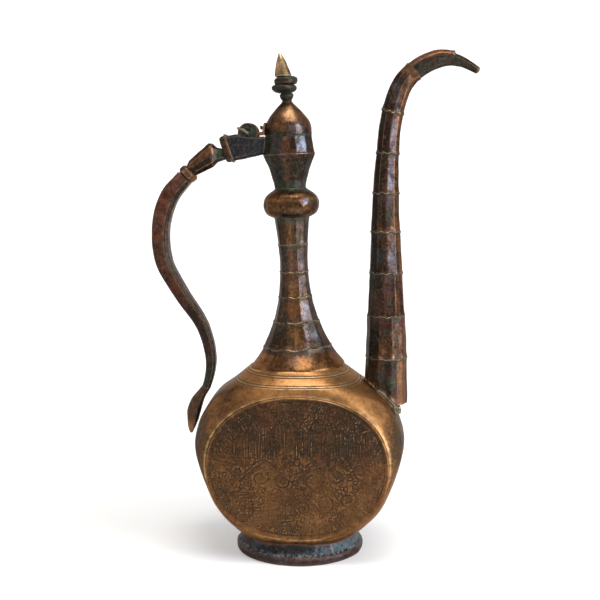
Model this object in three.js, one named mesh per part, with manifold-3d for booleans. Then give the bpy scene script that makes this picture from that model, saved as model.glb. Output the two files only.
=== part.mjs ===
// Copper ewer with a flattened body, a leaning faceted neck, a hinged lid, a tall spout
// and an S-shaped handle. Millimetres, +Z up. The front is towards -Y, the spout is on the
// +X side and the handle on the -X side. The origin lies on the floor under the middle of
// the whole ewer.
import * as THREE from 'three';
import { mergeVertices } from 'three/addons/utils/BufferGeometryUtils.js';
import Module from 'manifold-3d';

const wasm = await Module();
wasm.setup();

// Shared values
const sheet = 1.2;
const seatGap = 0.3;
const footAxisX = -9.6;

// Body
const bodyBottom = 11.5;
const bodyBottomRadius = 37;
const bodyHeight = 131.5;
const bellyRadius = 78.2;
const bellyShift = 0.6;
const neckSeatRadius = 35;
const shoulderRise = 3.4;
const shoulderRun = 3.6;
const faceDepth = 48;
const bodySides = 44;
const bodyRings = 19;

// Oval discs in the front and rear seats
const discSideMargin = 11.2;
const discEndMargin = 12.35;
const discDrop = 4.05;
const discSheet = 1;
const discCrown = 2.4;
const seatDepth = 2.2;
const seatLedge = 3.5;
const discSides = 44;
const discSteps = 4;

// Ring foot, about as wide as the body is deep
const footRimProud = 0.6;
const footFlare = 5.1;
const footRimHeight = 6.2;
const footRimRound = 1;
const footHeight = 17;
const footSheet = 2;
const footRimSheet = 3.4;
const footSides = 36;

// Neck, bulb and cup, upright in a frame that leans towards the handle
const leanAngle = 2.4;
const leanPivotDrop = 34;
const neckLength = 111.2;
const neckTopRadius = 13.4;
const neckWaistRadius = 10.7;
const neckWaistRise = 76;
const neckSides = 10;
const neckSteps = 12;
const ridgeRise = 0.7;
const ridgeWidth = 1.6;
const bulbRadius = 21.1;
const bulbHeight = 21;
const bulbSides = 24;
const cupHeight = 38.9;
const cupRadius = 19.6;
const cupWaistRadius = 11.8;
const cupMouthRadius = 17.9;
const cupSides = 12;

// Lid and finial
const lidRise = 24.6;
const lidInset = 0.4;
const lidCrownFlat = 1.8;
const lidSides = 24;
const bezelDrop = 3.2;
const bezelRise = 3;
const bezelSeatGap = 0.6;
const bezelClearance = 1.4;
const stemRadius = 1.5;
const stemClearance = 0.3;
const stemHeadRadius = 2.3;
const stemHeadHeight = 1;
const washerRadius = 3.6;
const washerSheet = 1.2;
const beadRadius = 5.2;
const beadHeight = 5.4;
const lowerCollarRadius = 9.3;
const lowerCollarHeight = 5.8;
const lowerCollarShift = -1.7;
const upperCollarRadius = 8.7;
const upperCollarHeight = 5.6;
const upperCollarShift = -0.3;
const coneRadius = 6.2;
const coneHeight = 17.6;
const coneShift = -1.9;
const coneLean = -2;
const coneSocket = 5;
const finialSides = 12;

// Hinge
const hingeStandOff = 12;
const hingeRise = 2.6;
const pinRadius = 1.1;
const pinClearance = 0.3;
const pinOverhang = 1.1;
const pinBend = 1.5;
const pinEndLength = 7.4;
const pinEndRise = 4;
const knuckleRadius = 3.6;
const leafHalfWidth = 4.1;
const leafThickness = 1.6;
const strapThickness = 2.6;
const strapRise = 0.6;
const strapLap = 1;
const tabMargin = 1.6;
const lugRadius = 7.6;
const lugThickness = 2.2;
const slotRoom = 0.5;
const rivetRise = 6.4;
const rivetSpacing = 4.2;
const rivetRadius = 1;
const rivetClearance = 0.2;
const rivetHeadRadius = 1.8;
const rivetHeadHeight = 0.9;

// Handle
const bracketLength = 27;
const bracketDrop = 6.6;
const bracketEndDrop = 7.7;
const bracketHalfHeight = 6.9;
const bracketEndHalfHeight = 9.6;
const bandWidth = 2.6;
const bandRise = 1;
const bandInset = 0.6;
const knopRun = 26.8;
const knopFall = 11.2;
const knopDrop = 3.9;
const knopHalfHeight = 8.8;
const knopHalfDepth = 7.4;
const ringHalfHeight = 7;
const ringLength = 6.4;
const ringRound = 1.4;
const ringAngle = 42;
const gripHalfHeight = 6.7;
const gripHalfDepth = 7;
const gripBow = 28.2;
const gripFootInset = 7.2;
const gripSteps = 20;
const gripWall = 1.4;
const gripLip = 2.4;
const gripEndCut = 1;
const stripThickness = 1.6;
const terminalHalfHeight = 4.9;
const terminalStandOff = 6.7;
const terminalSteps = 10;

// Spout: a tapering stem and a bend that ends in a beak
const spoutInset = 13.2;
const spoutRise = 227;
const spoutFootDrop = 47;
const spoutBow = 1.1;
const spoutBendRise = 45;
const spoutBendReach = 65.9;
const spoutRootRadius = 17.1;
const spoutBendRadius = 8.3;
const spoutTipRadius = 2.8;
const spoutSides = 8;
const spoutWall = 1.2;
const spoutRidgeRise = 0.7;
const spoutRidgeWidth = 2.4;
const spoutSeamDrop = 9;
const spoutTubeSteps = 12;
const spoutBeakSteps = 9;
const spoutTipBore = 2;
const collarHeight = 4.6;
const collarRise = 1.1;
const collarInset = 4.5;
const collarDrop = 35;
const collarShow = 6;
const spoutHoleRadius = 7.5;

const copper = { color: 0x8a5a34, roughness: 0.42, metalness: 0.9 };
const darkCopper = { color: 0x4a281e, roughness: 0.4, metalness: 0.85 };
const engraved = { color: 0x6f4930, roughness: 0.55, metalness: 0.8 };
const patina = { color: 0x3c4a50, roughness: 0.6, metalness: 0.6 };
const brass = { color: 0xa8824e, roughness: 0.4, metalness: 0.9 };
const iron = { color: 0x2c2622, roughness: 0.6, metalness: 0.7 };

const radians = (degrees) => THREE.MathUtils.degToRad(degrees);

// Heights and places that follow from the sizes above
const cutReach = bellyRadius;
const neckSeatHeight = bodyBottom + bodyHeight;
const leanPivot = neckSeatHeight - leanPivotDrop;
const lean = Math.tan(radians(leanAngle));
const neckTopHeight = neckSeatHeight + neckLength;
const bulbFoot = neckTopHeight + seatGap;
const cupFoot = bulbFoot + bulbHeight + seatGap;
const cupTop = cupFoot + cupHeight;
const lidRadius = cupMouthRadius - lidInset;
const lidFoot = cupTop + seatGap;
const lidTop = lidFoot + lidRise;
const hingeX = -lidRadius - hingeStandOff;
const hingeHeight = lidFoot + hingeRise;
const rivetHeight = lidFoot + rivetRise;
const stemHoleRadius = stemRadius + stemClearance;

function named(name, geometry, finish) {
  const mesh = new THREE.Mesh(geometry, new THREE.MeshStandardMaterial(finish));
  mesh.name = name;
  return mesh;
}

function toSolid(geometry) {
  const plain = geometry.clone();
  plain.deleteAttribute('normal');
  plain.deleteAttribute('uv');
  const merged = mergeVertices(plain, 1e-4);
  const vertProperties = new Float32Array(merged.attributes.position.array);
  const triVerts = new Uint32Array(merged.index.array);
  return new wasm.Manifold(new wasm.Mesh({ numProp: 3, vertProperties, triVerts }));
}

function toGeometry(solid) {
  const mesh = solid.getMesh();
  const geometry = new THREE.BufferGeometry();
  geometry.setAttribute('position', new THREE.BufferAttribute(new Float32Array(mesh.vertProperties), 3));
  geometry.setIndex(new THREE.BufferAttribute(new Uint32Array(mesh.triVerts), 1));
  geometry.computeVertexNormals();
  return geometry;
}

// Turns a closed geometry inside out when its faces point inward.
function outward(geometry) {
  const { position } = geometry.attributes;
  const index = Array.from(geometry.index.array);
  const [a, b, c] = [new THREE.Vector3(), new THREE.Vector3(), new THREE.Vector3()];
  let volume = 0;
  for (let i = 0; i < index.length; i += 3) {
    a.fromBufferAttribute(position, index[i]);
    b.fromBufferAttribute(position, index[i + 1]);
    c.fromBufferAttribute(position, index[i + 2]);
    volume += a.dot(b.cross(c));
  }
  if (volume < 0) {
    geometry.setIndex(index.reverse());
  }
  return geometry;
}

// A closed solid through rings of points, with a fan over each end
function loft(rings) {
  const count = rings[0].length;
  const points = rings.flat();
  const index = [];
  for (let ring = 0; ring < rings.length - 1; ring += 1) {
    for (let side = 0; side < count; side += 1) {
      const a = ring * count + side;
      const b = ring * count + (side + 1) % count;
      index.push(a, b, b + count, a, b + count, a + count);
    }
  }
  const middle = (ring) => ring.reduce((sum, point) => sum.add(point), new THREE.Vector3())
    .divideScalar(ring.length);
  const first = points.push(middle(rings[0])) - 1;
  const last = points.push(middle(rings[rings.length - 1])) - 1;
  const top = (rings.length - 1) * count;
  for (let side = 0; side < count; side += 1) {
    const next = (side + 1) % count;
    index.push(first, next, side);
    index.push(last, top + side, top + next);
  }
  const geometry = new THREE.BufferGeometry().setFromPoints(points);
  geometry.setIndex(index);
  return outward(geometry);
}

// A turned solid about Z from [radius, height] points, which start and end on the axis
// or close on themselves
function turned(profile, sides, turn = 0) {
  const points = profile.map(([radius, height]) => new THREE.Vector2(radius, height));
  const geometry = new THREE.LatheGeometry(points, sides, turn);
  geometry.rotateX(Math.PI / 2);
  return geometry;
}

// The outline moved inward by the wall, square to the outline, with its ends kept at their heights
function offsetInward(outline, wall) {
  return outline.map(([radius, height], i) => {
    const [r0, z0] = outline[Math.max(0, i - 1)];
    const [r1, z1] = outline[Math.min(outline.length - 1, i + 1)];
    if (i === 0 || i === outline.length - 1) {
      return [radius - wall, height];
    }
    const length = Math.hypot(r1 - r0, z1 - z0);
    return [radius - (wall * (z1 - z0)) / length, height + (wall * (r1 - r0)) / length];
  });
}

// A closed profile of a turned shell: the outer outline upwards and the inner one back down
function shellProfile(outline, wall) {
  return [...outline, ...offsetInward(outline, wall).reverse(), outline[0]];
}

// The full solid inside an outline, grown all round
function solidOfOutline(outline, grow, sides, turn = 0) {
  const first = outline[0];
  const last = outline[outline.length - 1];
  const grown = outline.map(([radius, height]) => [radius + grow, height]);
  return toSolid(turned([[0, first[1] - grow], [first[0] + grow, first[1] - grow], ...grown,
    [last[0] + grow, last[1] + grow], [0, last[1] + grow]], sides, turn));
}

function splinePoints(controls, count) {
  const curve = new THREE.SplineCurve(controls.map(([a, b]) => new THREE.Vector2(a, b)));
  return curve.getPoints(count).map((point) => [point.x, point.y]);
}

function box(fromX, toX, fromY, toY, fromZ, toZ) {
  const geometry = new THREE.BoxGeometry(toX - fromX, toY - fromY, toZ - fromZ);
  geometry.translate((fromX + toX) / 2, (fromY + toY) / 2, (fromZ + toZ) / 2);
  return toSolid(geometry);
}

// A round bar along Z between two heights
function upright(radius, fromZ, toZ, x, sides) {
  const cylinder = new THREE.CylinderGeometry(radius, radius, toZ - fromZ, sides);
  cylinder.rotateX(Math.PI / 2);
  cylinder.translate(x, 0, (fromZ + toZ) / 2);
  return toSolid(cylinder);
}

// A round bar along Y between two depths
function crossBar(radius, x, z, fromY, toY, sides) {
  const cylinder = new THREE.CylinderGeometry(radius, radius, toY - fromY, sides);
  cylinder.translate(x, (fromY + toY) / 2, z);
  return toSolid(cylinder);
}

function leaning(solid) {
  return solid.translate([0, 0, -leanPivot]).rotate([0, -leanAngle, 0]).translate([0, 0, leanPivot]);
}

function leaningGroup(...children) {
  const straight = new THREE.Group();
  straight.position.z = -leanPivot;
  straight.add(...children);
  const tilted = new THREE.Group();
  tilted.position.z = leanPivot;
  tilted.rotation.y = -radians(leanAngle);
  tilted.add(straight);
  return tilted;
}

// Body outline: half-width in X against height, as shares of the belly and of the height
const bodyShares = [[0.55, 0.022], [0.676, 0.09], [0.854, 0.243], [1, 0.52], [0.972, 0.675],
  [0.833, 0.817], [0.634, 0.908]];
const bodyOutline = splinePoints([
  [bodyBottomRadius, bodyBottom],
  ...bodyShares.map(([wide, high]) => [bellyRadius * wide, bodyBottom + bodyHeight * high]),
  [neckSeatRadius + shoulderRun, neckSeatHeight - shoulderRise],
  [neckSeatRadius, neckSeatHeight],
  [neckSeatRadius - shoulderRun, neckSeatHeight + shoulderRise],
], bodyRings);

// One level of the body: a rounded outline whose front and back level off at the face's depth
function bodyRing(halfWidth, height, grow, halfDepth) {
  const roundness = 2;
  const bellyFullness = 1;
  const faceEdge = 14;
  const share = THREE.MathUtils.clamp((height - bodyBottom) / bodyHeight, 0, 1);
  const power = 2 / (roundness + bellyFullness * Math.sin(Math.PI * share) ** 0.5);
  const centreX = bellyShift * Math.sin(Math.PI * share) - Math.max(0, height - leanPivot) * lean;
  const ring = [];
  for (let side = 0; side < bodySides; side += 1) {
    const angle = (side / bodySides) * Math.PI * 2;
    const c = Math.cos(angle);
    const s = Math.sin(angle);
    const x = Math.sign(c) * Math.abs(c) ** power * (halfWidth + grow);
    const free = Math.abs(s) ** power * (halfWidth + grow);
    const y = free / (1 + (free / halfDepth) ** faceEdge) ** (1 / faceEdge);
    ring.push(new THREE.Vector3(centreX + x, Math.sign(s) * y, height));
  }
  return ring;
}

// The body's outer form, grown or shrunk
function bodyForm(grow, halfDepth = faceDepth + grow) {
  const rings = bodyOutline.map(([halfWidth, height], ring) => (
    bodyRing(halfWidth, ring === 0 ? height - grow : height, grow, halfDepth)));
  return toSolid(loft(rings));
}

const discHalfWidth = bellyRadius - discSideMargin;
const discHalfHeight = bodyHeight / 2 - discEndMargin;
const discHeight = bodyBottom + bodyHeight / 2 - discDrop;

// Oval outline of the discs at one depth
function ovalRing(halfWidth, halfHeight, depth) {
  const power = 2 / 2.2;
  const ring = [];
  for (let side = 0; side < discSides; side += 1) {
    const angle = (side / discSides) * Math.PI * 2;
    const c = Math.cos(angle);
    const s = Math.sin(angle);
    const x = bellyShift + Math.sign(c) * Math.abs(c) ** power * halfWidth;
    ring.push(new THREE.Vector3(x, depth, discHeight + Math.sign(s) * Math.abs(s) ** power * halfHeight));
  }
  return ring;
}

function ovalPrism(inset, fromDepth, toDepth) {
  const ringAt = (depth) => ovalRing(discHalfWidth - inset, discHalfHeight - inset, depth);
  return toSolid(loft([ringAt(fromDepth), ringAt(toDepth)]));
}

// Spout centre line. The stem's rows are shares of its height, of its bow and of its taper;
// the bend's rows are shares of its reach, of its rise and of its taper.
const spoutX = bellyRadius - spoutInset;
const spoutFoot = neckSeatHeight - spoutFootDrop;
const spoutBendFoot = neckSeatHeight + spoutRise - spoutBendRise;
const stemShares = [[0, 0, 1], [0.26, 0.3, 0.81], [0.51, -0.4, 0.485], [0.769, -1, 0.2],
  [0.896, -0.1, 0.045], [1, 1.9, 0]];
const bendShares = [[0.094, 0.367, 0.98], [0.168, 0.615, 0.95], [0.281, 0.792, 0.88], [0.407, 0.912, 0.8],
  [0.541, 0.984, 0.7], [0.671, 0.994, 0.47], [0.801, 0.953, 0.25],
  [0.908, 0.875, 0.1], [1, 0.792, 0]];
const spoutStations = [
  ...stemShares.map(([up, bow, taper]) => [
    spoutX + bow * spoutBow,
    spoutFoot + (spoutBendFoot - spoutFoot) * up,
    spoutBendRadius + (spoutRootRadius - spoutBendRadius) * taper,
  ]),
  ...bendShares.map(([out, up, taper]) => [
    spoutX + spoutBendReach * out,
    spoutBendFoot + spoutBendRise * up,
    spoutTipRadius + (spoutBendRadius - spoutTipRadius) * taper,
  ]),
];
const spoutCurve = new THREE.CatmullRomCurve3(spoutStations.map(([x, z]) => new THREE.Vector3(x, 0, z)));
const spoutRadii = new THREE.CatmullRomCurve3(spoutStations.map(([, , r], i) => new THREE.Vector3(i, r, 0)));
const spoutLength = spoutCurve.getLength();
const spoutRidgeShares = [0.229, 0.369, 0.508, 0.644, 0.769, 0.896, 1.028];

// Share of the spout's length at which it first reaches a height
function spoutShare(height) {
  let share = 0;
  while (share < 1 && spoutCurve.getPointAt(share).z < height) {
    share += 0.001;
  }
  return Math.min(share, 1);
}

function spoutRing(share, grow) {
  const centre = spoutCurve.getPointAt(share);
  const along = spoutCurve.getTangentAt(share);
  const across = new THREE.Vector3(-along.z, 0, along.x);
  const radius = spoutRadii.getPoint(spoutCurve.getUtoTmapping(share)).y + grow;
  const ring = [];
  for (let side = 0; side < spoutSides; side += 1) {
    const angle = ((side + 0.5) / spoutSides) * Math.PI * 2;
    const point = centre.clone().addScaledVector(across, Math.cos(angle) * radius);
    point.y -= Math.sin(angle) * radius;
    ring.push(point);
  }
  return ring;
}

// A length of the spout between two shares, grown or shrunk, with the ridges asked for
function spoutForm(from, to, steps, grow, ridges = []) {
  const places = [];
  for (let step = 0; step <= steps; step += 1) {
    places.push({ share: from + ((to - from) * step) / steps, rise: 0 });
  }
  const half = spoutRidgeWidth / 2 / spoutLength;
  for (const share of ridges.filter((ridge) => ridge - 2 * half > from && ridge + 2 * half < to)) {
    places.push({ share: share - half, rise: 0 });
    places.push({ share, rise: spoutRidgeRise });
    places.push({ share: share + half, rise: 0 });
  }
  places.sort((a, b) => a.share - b.share);
  return toSolid(loft(places.map(({ share, rise }) => spoutRing(share, grow + rise))));
}

// Ring foot, with its mouth shaped to the body's underside
function footRing() {
  const rimRadius = faceDepth + footRimProud;
  const topRadius = rimRadius - footFlare;
  const waistHeight = footHeight - footRimHeight;
  const profile = [
    [rimRadius - footRimRound, 0],
    [rimRadius, footRimRound],
    [rimRadius, footRimHeight - footRimRound],
    [rimRadius - footRimRound, footRimHeight],
    [topRadius + footFlare * 0.47, footRimHeight + waistHeight * 0.2],
    [topRadius + footFlare * 0.12, footRimHeight + waistHeight * 0.5],
    [topRadius, footHeight],
    [topRadius - footSheet, footHeight],
    [topRadius - footSheet, footRimHeight + footSheet * 2],
    [rimRadius - footRimSheet, footRimHeight - footRimRound],
    [rimRadius - footRimSheet, 0],
    [rimRadius - footRimRound, 0],
  ];
  return toSolid(turned(profile, footSides)).subtract(bodyForm(seatGap));
}

// Body shell with two oval seats and windows, the neck opening and the spout hole
function bodyShell() {
  const innerDepth = faceDepth - seatDepth - sheet;
  let shell = bodyForm(0).subtract(bodyForm(-sheet, innerDepth));
  for (const side of [-1, 1]) {
    const outside = side * (faceDepth + sheet);
    shell = shell.subtract(ovalPrism(-seatGap, side * (faceDepth - seatDepth), outside));
    shell = shell.subtract(ovalPrism(seatLedge, side * (innerDepth - sheet), outside));
  }
  const aboveSeat = box(-bellyRadius, bellyRadius, -bellyRadius, bellyRadius, neckSeatHeight - seatGap,
    neckSeatHeight + cutReach);
  const spoutHole = upright(spoutHoleRadius, discHeight, neckSeatHeight, spoutX, 2 * spoutSides);
  return shell.subtract(leaning(aboveSeat)).subtract(spoutHole);
}

// Crowned oval disc that fills a seat, with its rim just behind the seat's edge
function medallion(side) {
  const back = faceDepth - seatDepth + seatGap;
  const ringAt = (share, base) => {
    const depth = base + discCrown * (1 - (1 - share) ** 2);
    return ovalRing(discHalfWidth * (1 - share), discHalfHeight * (1 - share), side * depth);
  };
  const rings = [];
  for (let step = discSteps - 1; step >= 0; step -= 1) {
    rings.push(ringAt(step / discSteps, back));
  }
  for (let step = 0; step < discSteps; step += 1) {
    rings.push(ringAt(step / discSteps, back + discSheet));
  }
  return loft(rings);
}

// Neck radius at a height: a flare over the seat, a waist, and a small flare under the bulb
function neckRadius(height) {
  const flarePower = 2.25;
  const rise = height - neckSeatHeight;
  if (rise < neckWaistRise) {
    return neckWaistRadius + (neckSeatRadius - neckWaistRadius) * (1 - rise / neckWaistRise) ** flarePower;
  }
  const share = (rise - neckWaistRise) / (neckLength - neckWaistRise);
  return neckWaistRadius + (neckTopRadius - neckWaistRadius) * share ** 2;
}

function neck() {
  const ridgeShares = [0.126, 0.297, 0.464, 0.633, 0.818];
  const heights = [];
  for (let step = 0; step <= neckSteps; step += 1) {
    heights.push([neckSeatHeight + (neckLength * step) / neckSteps, 0]);
  }
  for (const share of ridgeShares) {
    const height = neckSeatHeight + neckLength * share;
    heights.push([height - ridgeWidth / 2, 0], [height, ridgeRise], [height + ridgeWidth / 2, 0]);
  }
  heights.sort((a, b) => a[0] - b[0]);
  const outer = heights.map(([height, rise]) => [neckRadius(height) + rise, height]);
  return turned(shellProfile(outer, sheet), neckSides, Math.PI / neckSides);
}

function neckBulb() {
  const bulbShares = [[0.855, 0.09], [0.955, 0.23], [1, 0.4], [0.99, 0.54], [0.93, 0.7], [0.81, 0.83]];
  const outer = [
    [neckTopRadius, bulbFoot],
    ...bulbShares.map(([wide, high]) => [bulbRadius * wide, bulbFoot + bulbHeight * high]),
    [cupWaistRadius * 1.1, bulbFoot + bulbHeight * 0.96],
    [cupWaistRadius, bulbFoot + bulbHeight],
  ];
  return turned(shellProfile(outer, sheet), bulbSides);
}

const cupShares = [[0.77, 0.34], [0.89, 0.49], [0.98, 0.59], [1, 0.65], [0.96, 0.79]];
const cupOutline = [
  [cupWaistRadius, cupFoot],
  [cupWaistRadius * 1.06, cupFoot + cupHeight * 0.11],
  [cupWaistRadius * 1.14, cupFoot + cupHeight * 0.19],
  ...cupShares.map(([wide, high]) => [cupRadius * wide, cupFoot + cupHeight * high]),
  [cupMouthRadius, cupFoot + cupHeight * 0.93],
  [cupMouthRadius, cupTop],
];

function mouthCup() {
  return turned(shellProfile(cupOutline, sheet), cupSides, Math.PI / cupSides);
}

// The room that the cup needs in what meets it
function cupRoom() {
  return solidOfOutline(cupOutline, seatGap, cupSides, Math.PI / cupSides);
}

const lidShares = [[1, 0], [1, 0.13], [0.98, 0.25], [0.925, 0.37], [0.84, 0.48], [0.72, 0.6], [0.58, 0.72],
  [0.42, 0.84], [0.27, 0.94]];
const lidOutline = [
  ...lidShares.map(([wide, high]) => [lidRadius * wide, lidFoot + lidRise * high]),
  [stemHoleRadius + lidCrownFlat, lidTop],
];
const lidInside = offsetInward(lidOutline, sheet).slice(0, -1);

// Lid dome with a hole for the finial's stem and two rivet holes
function lidDome() {
  const profile = [...lidOutline, [stemHoleRadius, lidTop], [stemHoleRadius, lidTop - sheet],
    ...lidInside.toReversed(), lidOutline[0]];
  let dome = toSolid(turned(profile, lidSides));
  for (const side of [-1, 1]) {
    dome = dome.subtract(rivetHole(side));
  }
  return dome;
}

// Ring inside the lid that drops into the cup
function lidBezel() {
  const upper = lidRadius - sheet - bezelSeatGap;
  const lower = cupMouthRadius - sheet - bezelClearance;
  const profile = [
    [lower, lidFoot - bezelDrop],
    [lower, lidFoot],
    [upper, lidFoot + seatGap],
    [upper, lidFoot + bezelRise],
    [upper - sheet, lidFoot + bezelRise],
    [lower - sheet, lidFoot],
    [lower - sheet, lidFoot - bezelDrop],
    [lower, lidFoot - bezelDrop],
  ];
  return turned(profile, lidSides);
}

// Height of the lid's inner face over a radius
function lidInsideHeight(radius) {
  const outer = lidInside.findLastIndex(([r]) => r > radius);
  const [r0, z0] = lidInside[outer];
  const [r1, z1] = lidInside[outer + 1] ?? [stemHoleRadius, lidTop - sheet];
  return z0 + ((z1 - z0) * (r0 - radius)) / (r0 - r1);
}

// Finial, threaded on a stem that is peened over a washer inside the lid
const beadFoot = lidTop + seatGap;
const lowerFoot = beadFoot + beadHeight + seatGap;
const upperFoot = lowerFoot + lowerCollarHeight + seatGap;
const coneFoot = upperFoot + upperCollarHeight + seatGap;
const washerTop = lidInsideHeight(washerRadius) - seatGap;

function stemHole(fromZ, toZ) {
  return upright(stemHoleRadius, fromZ, toZ, 0, finialSides);
}

// A turned piece of the finial from shares of its radius and height, with the stem's hole
function onStem(shares, radius, foot, height, shift) {
  const outline = shares.map(([wide, high]) => [radius * wide, foot + height * high]);
  const geometry = turned([[0, foot], ...outline, [0, foot + height]], finialSides);
  geometry.translate(shift, 0, 0);
  return toSolid(geometry).subtract(stemHole(foot - seatGap, foot + height + seatGap));
}

function finialStem() {
  const foot = washerTop - washerSheet - seatGap;
  const tip = coneFoot + coneSocket - seatGap;
  return turned([
    [0, foot - stemHeadHeight],
    [stemHeadRadius, foot - stemHeadHeight],
    [stemHeadRadius, foot],
    [stemRadius, foot],
    [stemRadius, tip],
    [0, tip],
  ], finialSides);
}

function finialWasher() {
  return turned([
    [stemHoleRadius, washerTop - washerSheet],
    [washerRadius, washerTop - washerSheet],
    [washerRadius, washerTop],
    [stemHoleRadius, washerTop],
    [stemHoleRadius, washerTop - washerSheet],
  ], finialSides);
}

function finialBead() {
  const shares = [[0.74, 0], [0.86, 0.35], [1, 0.62], [0.9, 1]];
  return onStem(shares, beadRadius, beadFoot, beadHeight, 0);
}

function finialLowerCollar() {
  const shares = [[0.55, 0], [0.9, 0.34], [1, 0.66], [0.86, 1]];
  return onStem(shares, lowerCollarRadius, lowerFoot, lowerCollarHeight, lowerCollarShift);
}

function finialUpperCollar() {
  const shares = [[0.9, 0], [1, 0.4], [0.94, 0.75], [0.74, 1]];
  return onStem(shares, upperCollarRadius, upperFoot, upperCollarHeight, upperCollarShift);
}

// Brass cone that leans a little off the stem's line
function finialCone() {
  const coneShares = [[0, 1], [0.5, 0.56], [0.9, 0.2], [1, 0.1]];
  const rings = coneShares.map(([up, wide]) => {
    const ring = [];
    for (let side = 0; side < finialSides; side += 1) {
      const angle = (side / finialSides) * Math.PI * 2;
      const x = coneShift + coneLean * up + Math.cos(angle) * coneRadius * wide;
      ring.push(new THREE.Vector3(x, Math.sin(angle) * coneRadius * wide, coneFoot + coneHeight * up));
    }
    return ring;
  });
  return toSolid(loft(rings)).subtract(stemHole(coneFoot - seatGap, coneFoot + coneSocket));
}

// Chamfered box section across a line in the XZ plane
function sectionRing({ x, z, angle, halfHeight, halfDepth, chamfer }) {
  const up = new THREE.Vector3(-Math.sin(radians(angle)), 0, Math.cos(radians(angle)));
  const cut = Math.min(halfHeight, halfDepth) * chamfer;
  const corners = [
    [halfHeight, halfDepth - cut], [halfHeight - cut, halfDepth], [cut - halfHeight, halfDepth],
    [-halfHeight, halfDepth - cut], [-halfHeight, cut - halfDepth], [cut - halfHeight, -halfDepth],
    [halfHeight - cut, -halfDepth], [halfHeight, cut - halfDepth],
  ];
  return corners.map(([h, y]) => new THREE.Vector3(x + up.x * h, y, z + up.z * h));
}

function sectionForm(stations, grow = 0) {
  return toSolid(loft(stations.map((station) => sectionRing({
    ...station,
    halfHeight: station.halfHeight + grow,
    halfDepth: station.halfDepth + grow,
  }))));
}

// A station moved along its own direction
function moved(station, distance) {
  return {
    ...station,
    x: station.x + Math.cos(radians(station.angle)) * distance,
    z: station.z + Math.sin(radians(station.angle)) * distance,
  };
}

// Hinge ears start just outside the leaf, and the bracket is as deep as the ears stand apart.
const lugInnerY = leafHalfWidth + seatGap;
const lugOuterY = lugInnerY + lugThickness;

// Bracket sleeve from the cup's axis to the knop: shares of its length past the cup,
// of its fall, of its swelling and of its depth, with the angle there
const bracketShares = [[1, 1, 1, 0.91, 10], [0.68, 0.34, 0.93, 1, 9], [0.385, 0.13, 0.52, 1, 4],
  [0, 0, 0, 1, 0], [-cupRadius / bracketLength, 0, 0, 1, 0]];
const bracketStations = bracketShares.map(([out, fall, swell, deep, angle]) => ({
  x: -cupRadius - bracketLength * out,
  z: cupTop - bracketDrop - (bracketEndDrop - bracketDrop) * fall,
  angle,
  halfHeight: bracketHalfHeight + (bracketEndHalfHeight - bracketHalfHeight) * swell,
  halfDepth: lugOuterY * deep,
  chamfer: 0.3,
}));
const bracketEnd = bracketStations[0];

// Everything above the seam between cup and lid on the lid's side of the hinge
function aboveSeam() {
  return box(hingeX + lugRadius, cutReach, -cutReach, cutReach, cupTop, cupTop + cutReach);
}

// Bracket with a slot for the hinge's knuckle
function handleBracket() {
  const slotEnd = hingeX - knuckleRadius - slotRoom;
  const slotFloor = hingeHeight - knuckleRadius - pinClearance;
  const slot = box(slotEnd, 0, -lugInnerY, lugInnerY, slotFloor, hingeHeight + cutReach);
  return sectionForm(bracketStations).subtract(cupRoom()).subtract(slot).subtract(aboveSeam());
}

function bracketBand() {
  const stations = [moved(bracketEnd, bandInset), moved(bracketEnd, bandInset + bandWidth)];
  return sectionForm(stations, bandRise + seatGap).subtract(sectionForm(bracketStations, seatGap));
}

// Knop: shares of its run and fall past the bracket, its half-height and its half-depth
const knopShares = [[0, 0, 0.6, 0.68, 10], [0.163, -0.045, 0.81, 0.86, 20], [0.346, -0.045, 1, 1, 24],
  [0.914, 0.785, 0.7, 0.78, 36], [1, 1, 0.56, 0.65, 42]];
const knopStations = knopShares.map(([run, fall, high, deep, angle]) => ({
  x: bracketEnd.x - seatGap - knopRun * run,
  z: bracketEnd.z - knopDrop - knopFall * fall,
  angle,
  halfHeight: knopHalfHeight * high,
  halfDepth: knopHalfDepth * deep,
  chamfer: 0.44,
}));

const knopEnd = { ...knopStations[knopStations.length - 1], angle: ringAngle };

function ringStation(distance, halfHeight) {
  return { ...moved(knopEnd, -distance), halfHeight, halfDepth: halfHeight, chamfer: 0.5 };
}

function handleRing() {
  return sectionForm([
    ringStation(seatGap, ringHalfHeight - ringRound),
    ringStation(seatGap + ringRound, ringHalfHeight),
    ringStation(seatGap + ringLength - ringRound, ringHalfHeight),
    ringStation(seatGap + ringLength, ringHalfHeight - ringRound),
  ]);
}

// Grip centre line from the ring to its foot: shares of its height and bow, of its
// half-height and of its half-depth
const gripStart = ringStation(ringLength + 2 * seatGap, gripHalfHeight);
const gripFootX = gripFootInset - bellyRadius;
const gripFootZ = bodyBottom + bodyHeight * 0.88;
const gripShares = [[0.909, 0.735, 1, 1], [0.769, 1, 0.955, 1], [0.607, 0.965, 0.91, 0.97],
  [0.45, 0.533, 0.79, 0.9], [0.293, 0.017, 0.67, 0.82], [0.137, -0.164, 0.57, 0.72],
  [0.04, -0.08, 0.48, 0.64], [0, 0, 0.45, 0.62]];
const gripStations = [
  [gripStart.x, gripStart.z, gripHalfHeight * 0.91, gripHalfDepth],
  ...gripShares.map(([up, bow, high, deep]) => [
    gripFootX - gripBow * bow,
    gripFootZ + (gripStart.z - gripFootZ) * up,
    gripHalfHeight * high,
    gripHalfDepth * deep,
  ]),
];

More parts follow.
